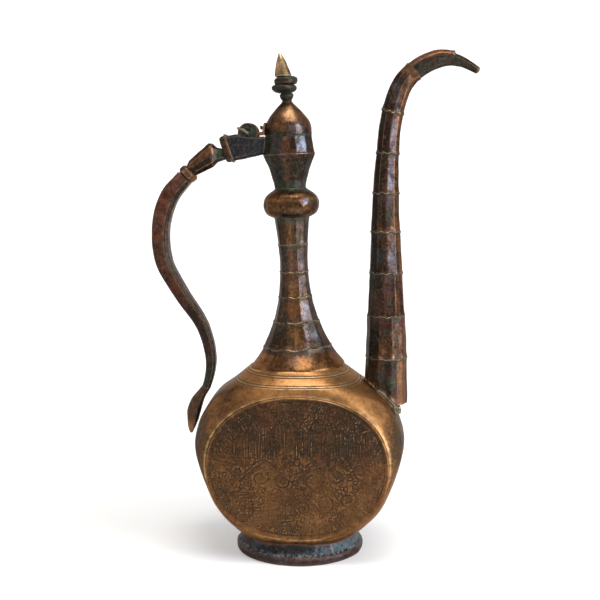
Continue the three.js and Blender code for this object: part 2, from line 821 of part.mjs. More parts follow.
// Terminal beside the belly: shares of its stand-off and of the body's height,
// of its half-height and of the grip's half-depth
const terminalShares = [[-0.39, 0.834, 0.735, 0.66], [0.19, 0.787, 0.96, 0.8], [0.52, 0.74, 1, 0.84],
  [0.69, 0.692, 0.837, 0.7], [0.88, 0.644, 0.53, 0.46], [1, 0.608, 0.18, 0.18]];
const terminalStations = terminalShares.map(([out, up, high, deep]) => [
  -bellyRadius - terminalStandOff * out,
  bodyBottom + bodyHeight * up,
  terminalHalfHeight * high,
  gripHalfDepth * deep,
]);

// Stations evenly along a centre line, from a list of x, z, half-height and half-depth
function alongLine(list, steps) {
  const curve = new THREE.CatmullRomCurve3(list.map(([x, z]) => new THREE.Vector3(x, 0, z)));
  const sizes = new THREE.CatmullRomCurve3(list.map(([, , h, d], i) => new THREE.Vector3(i, h, d)));
  const stations = [];
  for (let step = 0; step <= steps; step += 1) {
    const centre = curve.getPointAt(step / steps);
    const along = curve.getTangentAt(step / steps);
    const size = sizes.getPoint(curve.getUtoTmapping(step / steps));
    stations.push({
      x: centre.x,
      z: centre.z,
      angle: THREE.MathUtils.radToDeg(Math.atan2(-along.z, -along.x)),
      halfHeight: size.y,
      halfDepth: size.z,
      chamfer: 0.34,
    });
  }
  return stations;
}

const gripLine = alongLine(gripStations, gripSteps);
gripLine[0].angle = ringAngle;
const gripTop = gripLine[0];
const gripFoot = gripLine[gripLine.length - 1];

// A bar along the grip's inner side, from below its face to a given height over it
function innerBar(line, sideMargin, below, above) {
  const rings = line.map((station) => {
    const up = new THREE.Vector3(-Math.sin(radians(station.angle)), 0, Math.cos(radians(station.angle)));
    const halfDepth = station.halfDepth - sideMargin;
    const low = -station.halfHeight - below;
    const high = -station.halfHeight + above(station);
    return [[low, -halfDepth], [low, halfDepth], [high, halfDepth], [high, -halfDepth]]
      .map(([h, y]) => new THREE.Vector3(station.x + up.x * h, y, station.z + up.z * h));
  });
  return toSolid(loft(rings));
}

// Hollow grip, open along the side that faces the body
function handleGrip() {
  const line = [moved(gripTop, gripEndCut), ...gripLine, moved(gripFoot, -gripEndCut)];
  const trough = innerBar(line, gripLip, gripEndCut, (station) => station.halfHeight * 2 - gripWall);
  return sectionForm(gripLine).subtract(trough);
}

// Strip that closes the grip
function gripStrip() {
  const line = [moved(gripTop, -seatGap), ...gripLine.slice(1, -1), moved(gripFoot, seatGap)];
  return innerBar(line, gripLip + seatGap, 0, () => stripThickness);
}

function handleTerminal() {
  const start = moved(gripFoot, -seatGap);
  const line = alongLine([[start.x, start.z, start.halfHeight, start.halfDepth], ...terminalStations],
    terminalSteps);
  line[0].angle = gripFoot.angle;
  return sectionForm(line);
}

// Hinge ears, which stand on the bracket each side of the knuckle
function hingeLug(side) {
  const [from, to] = side < 0 ? [-lugOuterY, -lugInnerY] : [lugInnerY, lugOuterY];
  const ear = crossBar(lugRadius, hingeX, hingeHeight, from, to, 20);
  const base = box(hingeX - lugRadius, hingeX + lugRadius, from, to, hingeHeight - lugRadius, hingeHeight);
  const bracketRoom = sectionForm(bracketStations, seatGap);
  return ear.add(base).subtract(pinBore()).subtract(bracketRoom).subtract(cupRoom());
}

function pinBore() {
  return crossBar(pinRadius + pinClearance, hingeX, hingeHeight, -cutReach, cutReach, 10);
}

// Wire pin, bent over at the front
function hingePin() {
  const front = -lugOuterY - pinOverhang;
  const path = new THREE.CatmullRomCurve3([
    new THREE.Vector3(hingeX, lugOuterY + pinOverhang, hingeHeight),
    new THREE.Vector3(hingeX, 0, hingeHeight),
    new THREE.Vector3(hingeX, front, hingeHeight),
    new THREE.Vector3(hingeX - pinBend * 0.5, front - pinBend, hingeHeight + pinBend * 0.4),
    new THREE.Vector3(hingeX - pinEndLength, front - pinBend * 1.2, hingeHeight + pinEndRise),
  ]);
  const wire = new THREE.Shape();
  wire.absarc(0, 0, pinRadius, 0, Math.PI * 2);
  const options = { steps: 18, curveSegments: 8, bevelEnabled: false, extrudePath: path };
  return new THREE.ExtrudeGeometry(wire, options);
}

function rivetHole(side) {
  const length = 2 * lidRadius;
  const radius = rivetRadius + rivetClearance;
  const cylinder = new THREE.CylinderGeometry(radius, radius, length, 10);
  cylinder.rotateZ(Math.PI / 2);
  cylinder.translate(-lidRadius - length / 4, (side * rivetSpacing) / 2, rivetHeight);
  return toSolid(cylinder);
}

// How far from the axis the lid's wall lies behind the whole of a rivet's head
function rivetReach(outline) {
  const above = outline.findIndex(([, z]) => z > rivetHeight + rivetHeadRadius);
  const side = rivetSpacing / 2 + rivetHeadRadius;
  return Math.sqrt((outline[above][0] * Math.cos(Math.PI / lidSides)) ** 2 - side ** 2);
}

// Rivet through the leaf's tab and the lid's wall, with a head on each end
function lidRivet(side) {
  const insideX = seatGap - rivetReach(lidInside);
  const outsideX = -lidRadius - leafThickness - 2 * seatGap;
  const rivet = turned([
    [0, outsideX - rivetHeadHeight],
    [rivetHeadRadius * 0.6, outsideX - rivetHeadHeight],
    [rivetHeadRadius, outsideX],
    [rivetRadius, outsideX],
    [rivetRadius, insideX],
    [rivetHeadRadius, insideX],
    [rivetHeadRadius, insideX + rivetHeadHeight],
    [0, insideX + rivetHeadHeight],
  ], 10);
  rivet.rotateY(Math.PI / 2);
  rivet.translate(0, (side * rivetSpacing) / 2, rivetHeight);
  return rivet;
}

// Hinge leaf: a knuckle round the pin, a strap to the lid, and a tab that follows the lid's wall
function lidLeaf() {
  const knuckle = crossBar(knuckleRadius, hingeX, hingeHeight, -leafHalfWidth, leafHalfWidth, 20);
  const floor = lidFoot + strapRise;
  const ceiling = floor + strapThickness;
  const strap = box(hingeX, strapLap - lidRadius, -leafHalfWidth, leafHalfWidth, floor, ceiling);
  const near = solidOfOutline(lidOutline, seatGap, lidSides);
  const far = solidOfOutline(lidOutline, seatGap + leafThickness, lidSides);
  const window = box(-cutReach, -lidRadius / 2, -leafHalfWidth, leafHalfWidth, floor,
    rivetHeight + rivetHeadRadius + tabMargin);
  let leaf = knuckle.add(strap).add(far.intersect(window)).subtract(pinBore()).subtract(near);
  for (const side of [-1, 1]) {
    leaf = leaf.subtract(rivetHole(side));
  }
  return leaf;
}

// Spout in two pieces over a collar that follows the shoulder
const spoutSeam = spoutShare(neckSeatHeight + spoutRise - spoutSeamDrop);
const spoutSeamTrim = seatGap / spoutLength;
const collarFoot = neckSeatHeight - collarDrop;

function belowHeight(height) {
  return box(-bellyRadius - cutReach, bellyRadius + cutReach, -bellyRadius, bellyRadius, -cutReach, height);
}

function spoutCollar() {
  const top = spoutShare(neckSeatHeight + collarHeight * 3);
  const above = spoutShare(neckSeatHeight + collarHeight * 4);
  return spoutForm(0, top, 5, collarRise)
    .intersect(bodyForm(collarHeight))
    .subtract(bodyForm(seatGap))
    .subtract(spoutForm(0, above, 5, -collarInset))
    .subtract(belowHeight(collarFoot));
}

function spoutTube() {
  const ridges = spoutRidgeShares.map((up) => spoutShare(spoutFoot + (spoutBendFoot - spoutFoot) * up));
  return spoutForm(0, spoutSeam, spoutTubeSteps, 0, ridges)
    .subtract(bodyForm(collarHeight + seatGap))
    .subtract(spoutForm(0, 1, spoutTubeSteps + spoutBeakSteps + 1, -spoutWall))
    .subtract(belowHeight(collarFoot + collarShow));
}

// The bore runs out through the flat end of the beak.
function spoutBeak() {
  const bore = spoutForm(spoutSeam - spoutSeamTrim, 1, spoutBeakSteps + 1, -spoutWall);
  const end = spoutCurve.getTangentAt(1).multiplyScalar(spoutTipBore / 2);
  const mouth = spoutForm(1 - spoutTipBore / spoutLength, 1, 1, -spoutWall).translate([end.x, 0, end.z]);
  return spoutForm(spoutSeam + spoutSeamTrim, 1, spoutBeakSteps, 0).subtract(bore.add(mouth));
}

const vessel = new THREE.Group();
vessel.add(named('foot_ring', toGeometry(footRing()), patina));
vessel.add(named('body_shell', toGeometry(bodyShell()), copper));
vessel.add(named('front_medallion', medallion(-1), engraved));
vessel.add(named('rear_medallion', medallion(1), engraved));
vessel.add(named('spout_collar', toGeometry(spoutCollar()), darkCopper));
vessel.add(named('spout_tube', toGeometry(spoutTube()), darkCopper));
vessel.add(named('spout_beak', toGeometry(spoutBeak()), darkCopper));
vessel.add(leaningGroup(
  named('neck', neck(), copper),
  named('neck_bulb', neckBulb(), copper),
  named('mouth_cup', mouthCup(), darkCopper),
  named('handle_bracket', toGeometry(handleBracket()), darkCopper),
  named('handle_bracket_band', toGeometry(bracketBand()), darkCopper),
  named('handle_knop', toGeometry(sectionForm(knopStations)), darkCopper),
  named('handle_ring', toGeometry(handleRing()), darkCopper),
  named('handle_grip', toGeometry(handleGrip()), darkCopper),
  named('handle_grip_strip', toGeometry(gripStrip()), darkCopper),
  named('handle_terminal', toGeometry(handleTerminal()), darkCopper),
  named('hinge_lug_front', toGeometry(hingeLug(-1)), darkCopper),
  named('hinge_lug_rear', toGeometry(hingeLug(1)), darkCopper),
  named('hinge_pin', hingePin(), iron),
));

const lid = leaningGroup(
  named('lid_dome', toGeometry(lidDome()), copper),
  named('lid_bezel', lidBezel(), darkCopper),
  named('lid_leaf', toGeometry(lidLeaf()), darkCopper),
  named('lid_rivet_front', lidRivet(-1), iron),
  named('lid_rivet_rear', lidRivet(1), iron),
  named('finial_stem', finialStem(), iron),
  named('finial_washer', finialWasher(), darkCopper),
  named('finial_bead', toGeometry(finialBead()), darkCopper),
  named('finial_lower_collar', toGeometry(finialLowerCollar()), darkCopper),
  named('finial_upper_collar', toGeometry(finialUpperCollar()), darkCopper),
  named('finial_cone', toGeometry(finialCone()), brass),
);

const ewer = new THREE.Group();
ewer.position.x = footAxisX;
ewer.add(vessel, lid);

export default ewer;
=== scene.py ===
import math
from collections import namedtuple
from contextlib import contextmanager

import bmesh
import bpy
import numpy as np
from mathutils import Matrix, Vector
from mathutils.kdtree import KDTree


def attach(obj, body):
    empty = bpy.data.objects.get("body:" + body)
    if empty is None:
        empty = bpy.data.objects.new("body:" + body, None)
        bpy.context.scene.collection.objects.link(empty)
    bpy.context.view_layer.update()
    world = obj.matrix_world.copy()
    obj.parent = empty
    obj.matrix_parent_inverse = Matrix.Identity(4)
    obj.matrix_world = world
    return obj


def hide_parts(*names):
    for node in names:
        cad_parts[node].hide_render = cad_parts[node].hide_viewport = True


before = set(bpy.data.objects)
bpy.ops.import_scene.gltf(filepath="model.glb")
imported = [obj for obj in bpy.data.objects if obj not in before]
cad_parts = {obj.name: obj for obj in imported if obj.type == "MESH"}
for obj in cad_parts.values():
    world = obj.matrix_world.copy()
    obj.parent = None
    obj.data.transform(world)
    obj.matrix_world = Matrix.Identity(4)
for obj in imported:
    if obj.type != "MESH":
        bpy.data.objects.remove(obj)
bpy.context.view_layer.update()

# Shapes are worked out in millimetres and written to the meshes in metres.
MM = 0.001

# Camera: a 66 mm lens on a 36 mm sensor, looking slightly down from a little to the right
CAMERA_DISTANCE = 0.825
CAMERA_HEIGHT = 0.2964
CAMERA_PITCH = math.radians(7.25)
CAMERA_AZIMUTH = 3.5
CAMERA_LENS = 66


def node_points(node):
    return np.array([vertex.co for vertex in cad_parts[node].data.vertices]) / MM


# The neck and all that it carries lean towards the handle about this height.
LEAN = math.radians(2.4)
LEAN_PIVOT = 109.0
foot_points = node_points("foot_ring")
AXIS_X = (foot_points[:, 0].min() + foot_points[:, 0].max()) / 2
FLOOR_Z = foot_points[:, 2].min()


def lean(points):
    """From the upright frame about the neck's axis to the ewer's own place."""
    x, y, up = points[:, 0], points[:, 1], points[:, 2] - LEAN_PIVOT
    return np.stack([AXIS_X + x * math.cos(LEAN) - up * math.sin(LEAN), y,
                     LEAN_PIVOT + x * math.sin(LEAN) + up * math.cos(LEAN)], 1)


def unlean(points):
    x, y, up = points[:, 0] - AXIS_X, points[:, 1], points[:, 2] - LEAN_PIVOT
    return np.stack([x * math.cos(LEAN) + up * math.sin(LEAN), y,
                     LEAN_PIVOT - x * math.sin(LEAN) + up * math.cos(LEAN)], 1)


def stand(points):
    """From the frame about the foot's axis to the ewer's own place."""
    return points + np.array([AXIS_X, 0, 0])


def unstand(points):
    return points - np.array([AXIS_X, 0, 0])


def span(node, upright=True):
    """Lowest height, highest height and largest radius of a node about its axis."""
    points = unlean(node_points(node)) if upright else unstand(node_points(node))
    return points[:, 2].min(), points[:, 2].max(), np.hypot(points[:, 0], points[:, 1]).max()


# Shape helpers

def ripple(points, size, seed, waves=26):
    """Smooth uneven field over points, about -1 to 1, with swells about as wide as size."""
    rng = np.random.default_rng(seed)
    ways = rng.normal(size=(waves, 3))
    ways /= np.linalg.norm(ways, axis=1)[:, None]
    lengths = 2 * size * rng.uniform(0.7, 1.7, waves)
    phases = rng.uniform(0, 2 * math.pi, waves)
    total = np.sin(points.reshape(-1, 3) @ (ways * (2 * math.pi / lengths)[:, None]).T + phases).sum(1)
    return (total / math.sqrt(waves) * 0.8).reshape(points.shape[:-1])


def dents_over(points, *dents):
    """Unevenness over points from a depth, a size and a seed for each kind of dent."""
    return sum(depth * ripple(points, size, seed) for depth, size, seed in dents)


def smoothstep(low, high, value):
    share = np.clip((value - low) / (high - low), 0, 1)
    return share * share * (3 - 2 * share)


def hump(value, centre, width):
    return np.exp(-((value - centre) / width) ** 2)


def between(value, start, full, fade, end):
    """1 from full to fade, and smoothly down to 0 at start and at end."""
    return smoothstep(start, full, value) * smoothstep(end, fade, value)


def spline(controls, count, power=0.0):
    """A smooth line through the controls, at evenly spaced parameters.

    Power 0 makes it uniform, and 0.5 centripetal, by the roots of the distances between controls.
    """
    p = np.array(controls, float)
    first, last = (2 * p[0] - p[1], 2 * p[-1] - p[-2]) if power else (p[0], p[-1])
    p = np.concatenate([[first], p, [last]])
    at = np.linspace(0, len(p) - 3, count)
    i = np.minimum(at.astype(int), len(p) - 4)
    t = (at - i)[:, None]
    x0, x1, x2, x3 = p[i], p[i + 1], p[i + 2], p[i + 3]
    d0, d1, d2 = (np.linalg.norm(b - a, axis=1)[:, None] ** power for a, b in ((x0, x1), (x1, x2), (x2, x3)))
    t1 = ((x1 - x0) / d0 - (x2 - x0) / (d0 + d1) + (x2 - x1) / d1) * d1
    t2 = ((x2 - x1) / d1 - (x3 - x1) / (d1 + d2) + (x3 - x2) / d2) * d1
    return x1 + t1 * t + (3 * x2 - 3 * x1 - 2 * t1 - t2) * t ** 2 + (2 * x1 - 2 * x2 + t1 + t2) * t ** 3


def chord_spline(controls, count):
    return spline(controls, count, 0.5)


def run_along(line):
    """Length run along a line at each of its points."""
    return np.concatenate([[0], np.cumsum(np.linalg.norm(np.diff(line, axis=0), axis=1))])


def station_line(stations, count):
    """A smooth line through stations of x, z and sizes, with the sizes and the length run along it."""
    stations = np.asarray(stations, float)
    line = chord_spline(stations[:, :2], count)
    sizes = chord_spline(np.column_stack([np.arange(len(stations)), stations[:, 2:]]), count)[:, 1:]
    return line, sizes, run_along(line)


def with_finer(levels, places, reach, step, top=math.inf):
    """Levels in order, with closer ones about some places, below a top."""
    steps = np.arange(-reach, reach + 0.01, step)
    closer = {round(place + shift, 3) for place in places for shift in steps if place + shift < top}
    return np.array(sorted(closer | set(np.round(levels, 3))))


def round_angles(count):
    """Evenly spaced angles round a circle."""
    return np.arange(count) * 2 * math.pi / count


def polygon(angle, sides, turn, sharp):
    """Radius of a polygon with softened corners, as a share of its corner radius."""
    middles = turn + round_angles(sides)
    facing = np.maximum(np.cos(np.asarray(angle)[..., None] - middles), 0) / math.cos(math.pi / sides)
    return (facing ** sharp).sum(-1) ** (-1 / sharp)


def scaled(shares, radius, low, height):
    """A profile from shares of a radius and of a height."""
    return [(radius * wide, low + height * high) for wide, high in shares]


def turned(profile, columns, shape=None):
    """Rows of points about Z from rows of radius and height, from the front.

    Shape gives a share of the radius for each angle.
    """
    profile = np.asarray(profile, float)
    angle = round_angles(columns)
    radius = np.repeat(profile[:, :1], columns, 1)
    height = np.repeat(profile[:, 1:], columns, 1)
    if shape is not None:
        radius = radius * shape(angle)
    return np.stack([radius * np.sin(angle), -radius * np.cos(angle), height], -1)


def around(points):
    """Angle about Z from the front, towards the spout."""
    return np.arctan2(points[..., 0], -points[..., 1])


def fatter(points, amount):
    """Points moved away from the Z axis."""
    radius = np.maximum(np.hypot(points[..., 0], points[..., 1]), 1e-6)
    moved = points.copy()
    moved[..., :2] *= ((radius + amount) / radius)[..., None]
    return moved


def offset(profile, wall):
    """The profile moved inward by the wall, with its ends kept at their heights."""
    profile = np.asarray(profile, float)
    along = np.gradient(profile, axis=0)
    along /= np.linalg.norm(along, axis=1)[:, None]
    inner = profile + wall * np.stack([-along[:, 1], along[:, 0]], 1)
    inner[0] = profile[0] - [wall, 0]
    inner[-1] = profile[-1] - [wall, 0]
    return inner


def shell(outer, wall, skip=5):
    """Closes rows of an outer face with an inner face a wall further in."""
    rows = sorted(set(range(0, len(outer), skip)) | {len(outer) - 1}, reverse=True)
    return np.concatenate([outer, fatter(outer[rows], -wall)])


# Mesh helpers

def mesh_of(name, points, *faces):
    """A mesh in metres from points in millimetres and arrays of faces, one array for each corner count."""
    loops = np.concatenate([rows.ravel() for rows in faces])
    sizes = np.concatenate([np.full(len(rows), rows.shape[1]) for rows in faces])
    mesh = bpy.data.meshes.new(name)
    mesh.vertices.add(len(points))
    mesh.vertices.foreach_set("co", (points * MM).ravel())
    mesh.loops.add(len(loops))
    mesh.loops.foreach_set("vertex_index", loops.astype(np.int32))
    mesh.polygons.add(len(sizes))
    mesh.polygons.foreach_set("loop_start", np.concatenate([[0], np.cumsum(sizes)[:-1]]).astype(np.int32))
    mesh.update(calc_edges=True)
    mesh.validate()
    return mesh


def piece_object(name, mesh):
    made = bpy.data.objects.new(name, mesh)
    bpy.context.scene.collection.objects.link(made)
    return made


def build_piece(name, points, wrap_rows=False):
    """A closed piece from rows x columns x 3 points. Columns close on themselves, and rows where asked."""
    rows, columns = points.shape[:2]
    index = np.arange(rows * columns).reshape(rows, columns)
    caps = [] if wrap_rows else [np.stack([index[0][::-1], index[-1]])]
    if wrap_rows:
        index = np.concatenate([index, index[:1]])
    beside = np.roll(index, -1, 1)
    quads = np.stack([index[:-1], beside[:-1], beside[1:], index[1:]], -1).reshape(-1, 4)
    flat = points.reshape(-1, 3)
    a, b, c, d = (flat[quads[:, i]] for i in range(4))
    volume = (np.cross(a, b) * c).sum() + (np.cross(a, c) * d).sum()
    faces = [quads] + caps
    if volume < 0:
        faces = [corners[:, ::-1] for corners in faces]
    return piece_object(name, mesh_of(name, flat, *faces))


@contextmanager
def editing(mesh):
    """The mesh's faces for editing, written back at the end."""
    bm = bmesh.new()
    bm.from_mesh(mesh)
    yield bm
    bm.to_mesh(mesh)
    bm.free()


def vertex_values(mesh, rows, name):
    values = np.empty(len(mesh.vertices) * 3, np.float32)
    rows.foreach_get(name, values)
    return values.reshape(-1, 3).astype(float)


def flat_points(mesh):
    return vertex_values(mesh, mesh.vertices, "co") / MM


def vertex_normals(mesh):
    return vertex_values(mesh, mesh.vertex_normals, "vector")


def set_points(mesh, points):
    mesh.vertices.foreach_set("co", (np.asarray(points) * MM).astype(np.float32).ravel())
    mesh.update()


def apply_modifiers(made):
    graph = bpy.context.evaluated_depsgraph_get()
    mesh = bpy.data.meshes.new_from_object(made.evaluated_get(graph))
    made.modifiers.clear()
    made.data = mesh
    return made


def carve(made, *cutters):
    """Takes closed cutter pieces away from a closed piece."""
    for cutter in cutters:
        modifier = made.modifiers.new("carve", "BOOLEAN")
        modifier.operation = "DIFFERENCE"
        modifier.solver = "MANIFOLD"
        modifier.object = cutter
    apply_modifiers(made)
    for cutter in cutters:
        bpy.data.objects.remove(cutter)
    return made


def block(name, low, high):
    """A box cutter between two corners in millimetres."""
    mesh = bpy.data.meshes.new(name)
    middle, size = (np.array(low) + high) / 2, np.array(high) - low
    with editing(mesh) as bm:
        bmesh.ops.create_cube(bm, size=1)
        for vertex in bm.verts:
            vertex.co = Vector((np.array(vertex.co) * size + middle) * MM)
    return piece_object(name, mesh)


def worn_copy(node, name, voxel, rounds):
    """The node's solid remeshed finely and worn a little round at its edges."""
    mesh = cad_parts[node].data.copy()
    mesh.name = name
    with editing(mesh) as bm:
        bmesh.ops.remove_doubles(bm, verts=bm.verts, dist=0.01 * MM)
    made = piece_object(name, mesh)
    remesh = made.modifiers.new("remesh", "REMESH")
    remesh.mode = "VOXEL"
    remesh.voxel_size = voxel * MM
    smooth = made.modifiers.new("smooth", "SMOOTH")
    smooth.factor = 0.5
    smooth.iterations = rounds
    return apply_modifiers(made)


def bending(mesh, passes):
    """Bend of the surface at each vertex in 1/mm, above 0 where it stands out and below 0 in hollows."""
    count = len(mesh.vertices)
    points, normals = flat_points(mesh), vertex_normals(mesh)
    edges = np.empty(len(mesh.edges) * 2, np.int32)
    mesh.edges.foreach_get("vertices", edges)
    a, b = edges.reshape(-1, 2).T
    run = points[b] - points[a]
    bend = ((normals[b] - normals[a]) * run).sum(1) / np.maximum((run * run).sum(1), 1e-4)
    number = np.maximum(np.bincount(a, minlength=count) + np.bincount(b, minlength=count), 1)
    value = (np.bincount(a, bend, count) + np.bincount(b, bend, count)) / number
    for _ in range(passes):
        value = (value + (np.bincount(a, value[b], count) + np.bincount(b, value[a], count)) / number) / 2
    return value


SHARP_ANGLE = math.radians(40)
Place = namedtuple("Place", "x y z turn")


def finish_piece(made, body, slot, *nodes, upright=True, dents=(), passes=2, wear=(0.05, 0.35),
                 grime=(0.04, 0.3), masks=None):
    """Hammers, shades and paints a piece, gives it its material and lets it ride on its body.

    Masks are numbers, arrays or functions of a Place in the piece's own frame, whose turn is the angle from
    the front. They add to the rubbed edges and painted highlights, and to the dirt and painted shade in
    hollows. They also set lighter and darker colour with painted light and shade in it, and painted bluish
    glints.
    """
    mesh = made.data
    if dents:
        points, normals = flat_points(mesh), vertex_normals(mesh)
        move = dents_over(points, *dents)
        set_points(mesh, points + normals * move[:, None])
    with editing(mesh) as bm:
        for edge in bm.edges:
            edge.smooth = len(edge.link_faces) == 2 and edge.calc_face_angle(0) < SHARP_ANGLE
        for face in bm.faces:
            face.smooth = True
    points = flat_points(mesh)
    local = unlean(points) if upright else unstand(points)
    place = Place(*local.T, around(local))
    bend = bending(mesh, passes)
    # Outstanding edges are lightened as rubbed metal, and hollows darkened as dirt and painted shade.
    values = {"wear": smoothstep(*wear, bend), "grime": smoothstep(*grime, -bend), "tone": 0, "sheen": 0}
    for name, change in (masks or {}).items():
        total = values[name] + (change(place) if callable(change) else change)
        values[name] = total if name == "tone" else np.clip(total, -1, 1)
    for name, value in values.items():
        layer = mesh.attributes.get(name) or mesh.attributes.new(name, "FLOAT", "POINT")
        layer.data.foreach_set("value", np.broadcast_to(value, len(points)).astype(np.float32))
    mesh.materials.clear()
    mesh.materials.append(MATERIALS[slot])
    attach(made, body)
    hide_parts(*nodes)


# Materials

class Value:
    """A number or colour in a material's nodes. Sums, products and shares make new nodes."""

    def __init__(self, socket):
        self.socket = socket
        self.tree = socket.id_data

    def joined(self, operation, first, second):
        return Value(node(self.tree, "Math", {0: first, 1: second}, operation=operation).outputs[0])

    def __add__(self, other):
        return self.joined("ADD", self, other)

    def __sub__(self, other):
        return self.joined("SUBTRACT", self, other)

    def __rsub__(self, other):
        return self.joined("SUBTRACT", other, self)

    def __mul__(self, other):
        return self.joined("MULTIPLY", self, other)

    def __truediv__(self, other):
        return self.joined("DIVIDE", self, other)

    def at_least(self, other):
        return self.joined("MAXIMUM", self, other)

    def clamped(self):
        """The same value, kept between 0 and 1."""
        self.socket.node.use_clamp = True
        return self


def fill(sockets, values):
    """Links each value to its socket, or sets a number, a vector or a colour on it."""
    for name, value in values.items():
        socket = sockets[name]
        if isinstance(value, Value):
            value.tree.links.new(value.socket, socket)
        elif socket.type == "RGBA":
            socket.default_value = (*value, 1)
        else:
            socket.default_value = value


def node(tree, kind, inputs, **settings):
    made = tree.nodes.new("ShaderNode" + kind)
    for name, value in settings.items():
        setattr(made, name, value)
    fill(made.inputs, inputs)
    return made


def ramp(source, *stops):
    """A colour or number for each level of a value, from pairs of a level and a colour or number."""
    made = node(source.tree, "ValToRGB", {0: source})
    elements = made.color_ramp.elements
    while len(elements) < len(stops):
        elements.new(0.5)
    for element, (position, colour) in zip(elements, stops):
        element.position = position
        element.color = (*colour, 1) if isinstance(colour, tuple) else (colour, colour, colour, 1)
    return Value(made.outputs[0])


def rising(source, low, high, least=0.0):
    return ramp(source, (low, least), (high, 1.0))


def noise(coords, scale, detail, roughness, distortion=0.0):
    made = node(coords.tree, "TexNoise", {"Vector": coords, "Scale": scale, "Detail": detail,
                                          "Roughness": roughness, "Distortion": distortion})
    return Value(made.outputs["Fac"])


def mapped(coords, **change):
    return Value(node(coords.tree, "Mapping", {"Vector": coords, **change}).outputs[0])


def mix(factor, first, second, blend="MIX"):
    tree = first.tree if isinstance(first, Value) else factor.tree
    made = node(tree, "Mix", {}, data_type="RGBA", blend_type=blend)
    fill(made.inputs, {0: factor, 6: first, 7: second})
    return Value(made.outputs[2])


def painted(tree, name):
    return Value(node(tree, "Attribute", {}, attribute_type="GEOMETRY", attribute_name=name).outputs["Fac"])


def new_material(name):
    """A material with its node tree, its shader and its object coordinates."""
    material = bpy.data.materials.new(name)
    material.use_nodes = True
    tree = material.node_tree
    return material, tree, tree.nodes["Principled BSDF"], Value(node(tree, "TexCoord", {}).outputs["Object"])


def aged_copper(name, dark, middle, light, worn, patina, red=(0.12, 0.028, 0.016), steel_and_glint=(0.12, 0.125, 0.16),
                verdigris=(0.11, 0.15, 0.11), metallic=0.75, roughness=0.4, coat=0.04, bump=0.3, contrast=1.0,
                pits=0.6, green=0.5, reds=0.5, steels=0.25, films=0.6, spots=1.0):
    """Aged metal in three tones, with red, blue-grey and dark films, worn and dirty places, green traces and
    pits, and with the painted shade, painted highlights and painted glints that its attributes carry.
    """
    material, tree, shader, coords = new_material(name)
    wear, grime, tone, sheen = (painted(tree, attribute) for attribute in ("wear", "grime", "tone", "sheen"))
    clouds = noise(coords, 42, 5, 0.6, 0.5)
    mottle = noise(coords, 170, 7, 0.66, 0.3)
    speckle = noise(coords, 480, 5, 0.68, 0.2)
    grain = noise(coords, 1300, 3, 0.6)
    scratch = noise(mapped(coords, Scale=(900, 900, 110)), 1, 5, 0.65)
    blend = clouds * 0.45 + mottle * 0.33 + speckle * 0.22 + tone * 0.2
    spread = 0.13 / contrast
    colour = ramp(blend, (0.5 - spread, dark), (0.5, middle), (0.5 + spread * 1.2, light))
    for offset, scale, low, high, amount, shade in (((0.31, 0.72, 0.2), 60, 0.48, 0.66, reds, red),
                                                    ((1.1, 0.43, 0.9), 55, 0.5, 0.7, steels, steel_and_glint),
                                                    ((2.3, 1.72, 0.6), 70, 0.48, 0.68, films, patina)):
        patch = rising(noise(mapped(coords, Location=offset), scale, 7, 0.7, 0.7), low, high)
        colour = mix(patch * amount, colour, shade)
    # Painted glints: facets are tinted blue-grey where a lamp would be mirrored.
    painted_glint = (sheen * rising(mottle, 0.4, 0.6, 0.1)).clamped()
    colour = mix(painted_glint, colour, steel_and_glint)
    colour = mix(1.0, colour, rising(speckle, 0.34, 0.5, 1 - 0.6 * spots), "MULTIPLY")
    colour = mix(rising(speckle, 0.56, 0.7) * (0.4 * spots), colour, worn)
    freckles = ramp(grain * 0.5 + mottle * 0.5, (0.38, 1.0), (0.45, 0.0))
    colour = mix(freckles * (0.7 * pits), colour, patina)
    lines = rising(scratch, 0.56, 0.7)
    colour = mix(lines * 0.2, colour, worn)
    # Dirt and painted shade darken hollows and shaded sides towards a sooty patina.
    dirt_and_shade = (grime * (mottle * 1.6 + 0.2)).clamped()
    shade_and_soot = mix(rising(clouds, 0.4, 0.6), patina, tuple(0.55 * part for part in patina))
    colour = mix(dirt_and_shade, colour, shade_and_soot)
    growth = rising(noise(coords, 330, 8, 0.72, 0.8), 0.46, 0.6)
    greens = (growth * green * (dirt_and_shade * 0.95 + 0.06)).clamped()
    colour = mix(greens, colour, verdigris)
    # Rubbed edges and painted highlights take the worn colour.
    rubbed_and_highlight = (wear * rising(mottle * 0.6 + grain * 0.4, 0.4, 0.58, 0.12)).clamped()
    colour = mix(rubbed_and_highlight, colour, worn)
    metal = (metallic - dirt_and_shade * (0.3 * metallic) - greens * (0.5 * metallic)).clamped()
    rough = mottle * 0.32 + (roughness - 0.16) + dirt_and_shade * 0.16 + greens * 0.2
    rough = (rough - painted_glint * 0.1 - rubbed_and_highlight * 0.05).clamped()
    height = mottle * 0.6 + grain * 0.18 + speckle * 0.35
    height = height - freckles * (0.14 * pits) - lines * 0.05 + greens * 0.15
    bumps = node(tree, "Bump", {"Strength": bump, "Distance": 0.0006, "Height": height})
    fill(shader.inputs, {"Base Color": colour, "Metallic": metal, "Roughness": rough, "Coat Weight": coat,
                         "Coat Roughness": 0.16, "Specular IOR Level": 0.2,
                         "Specular Tint": (0.45, 0.36, 0.32), "Normal": Value(bumps.outputs["Normal"])})
    return material
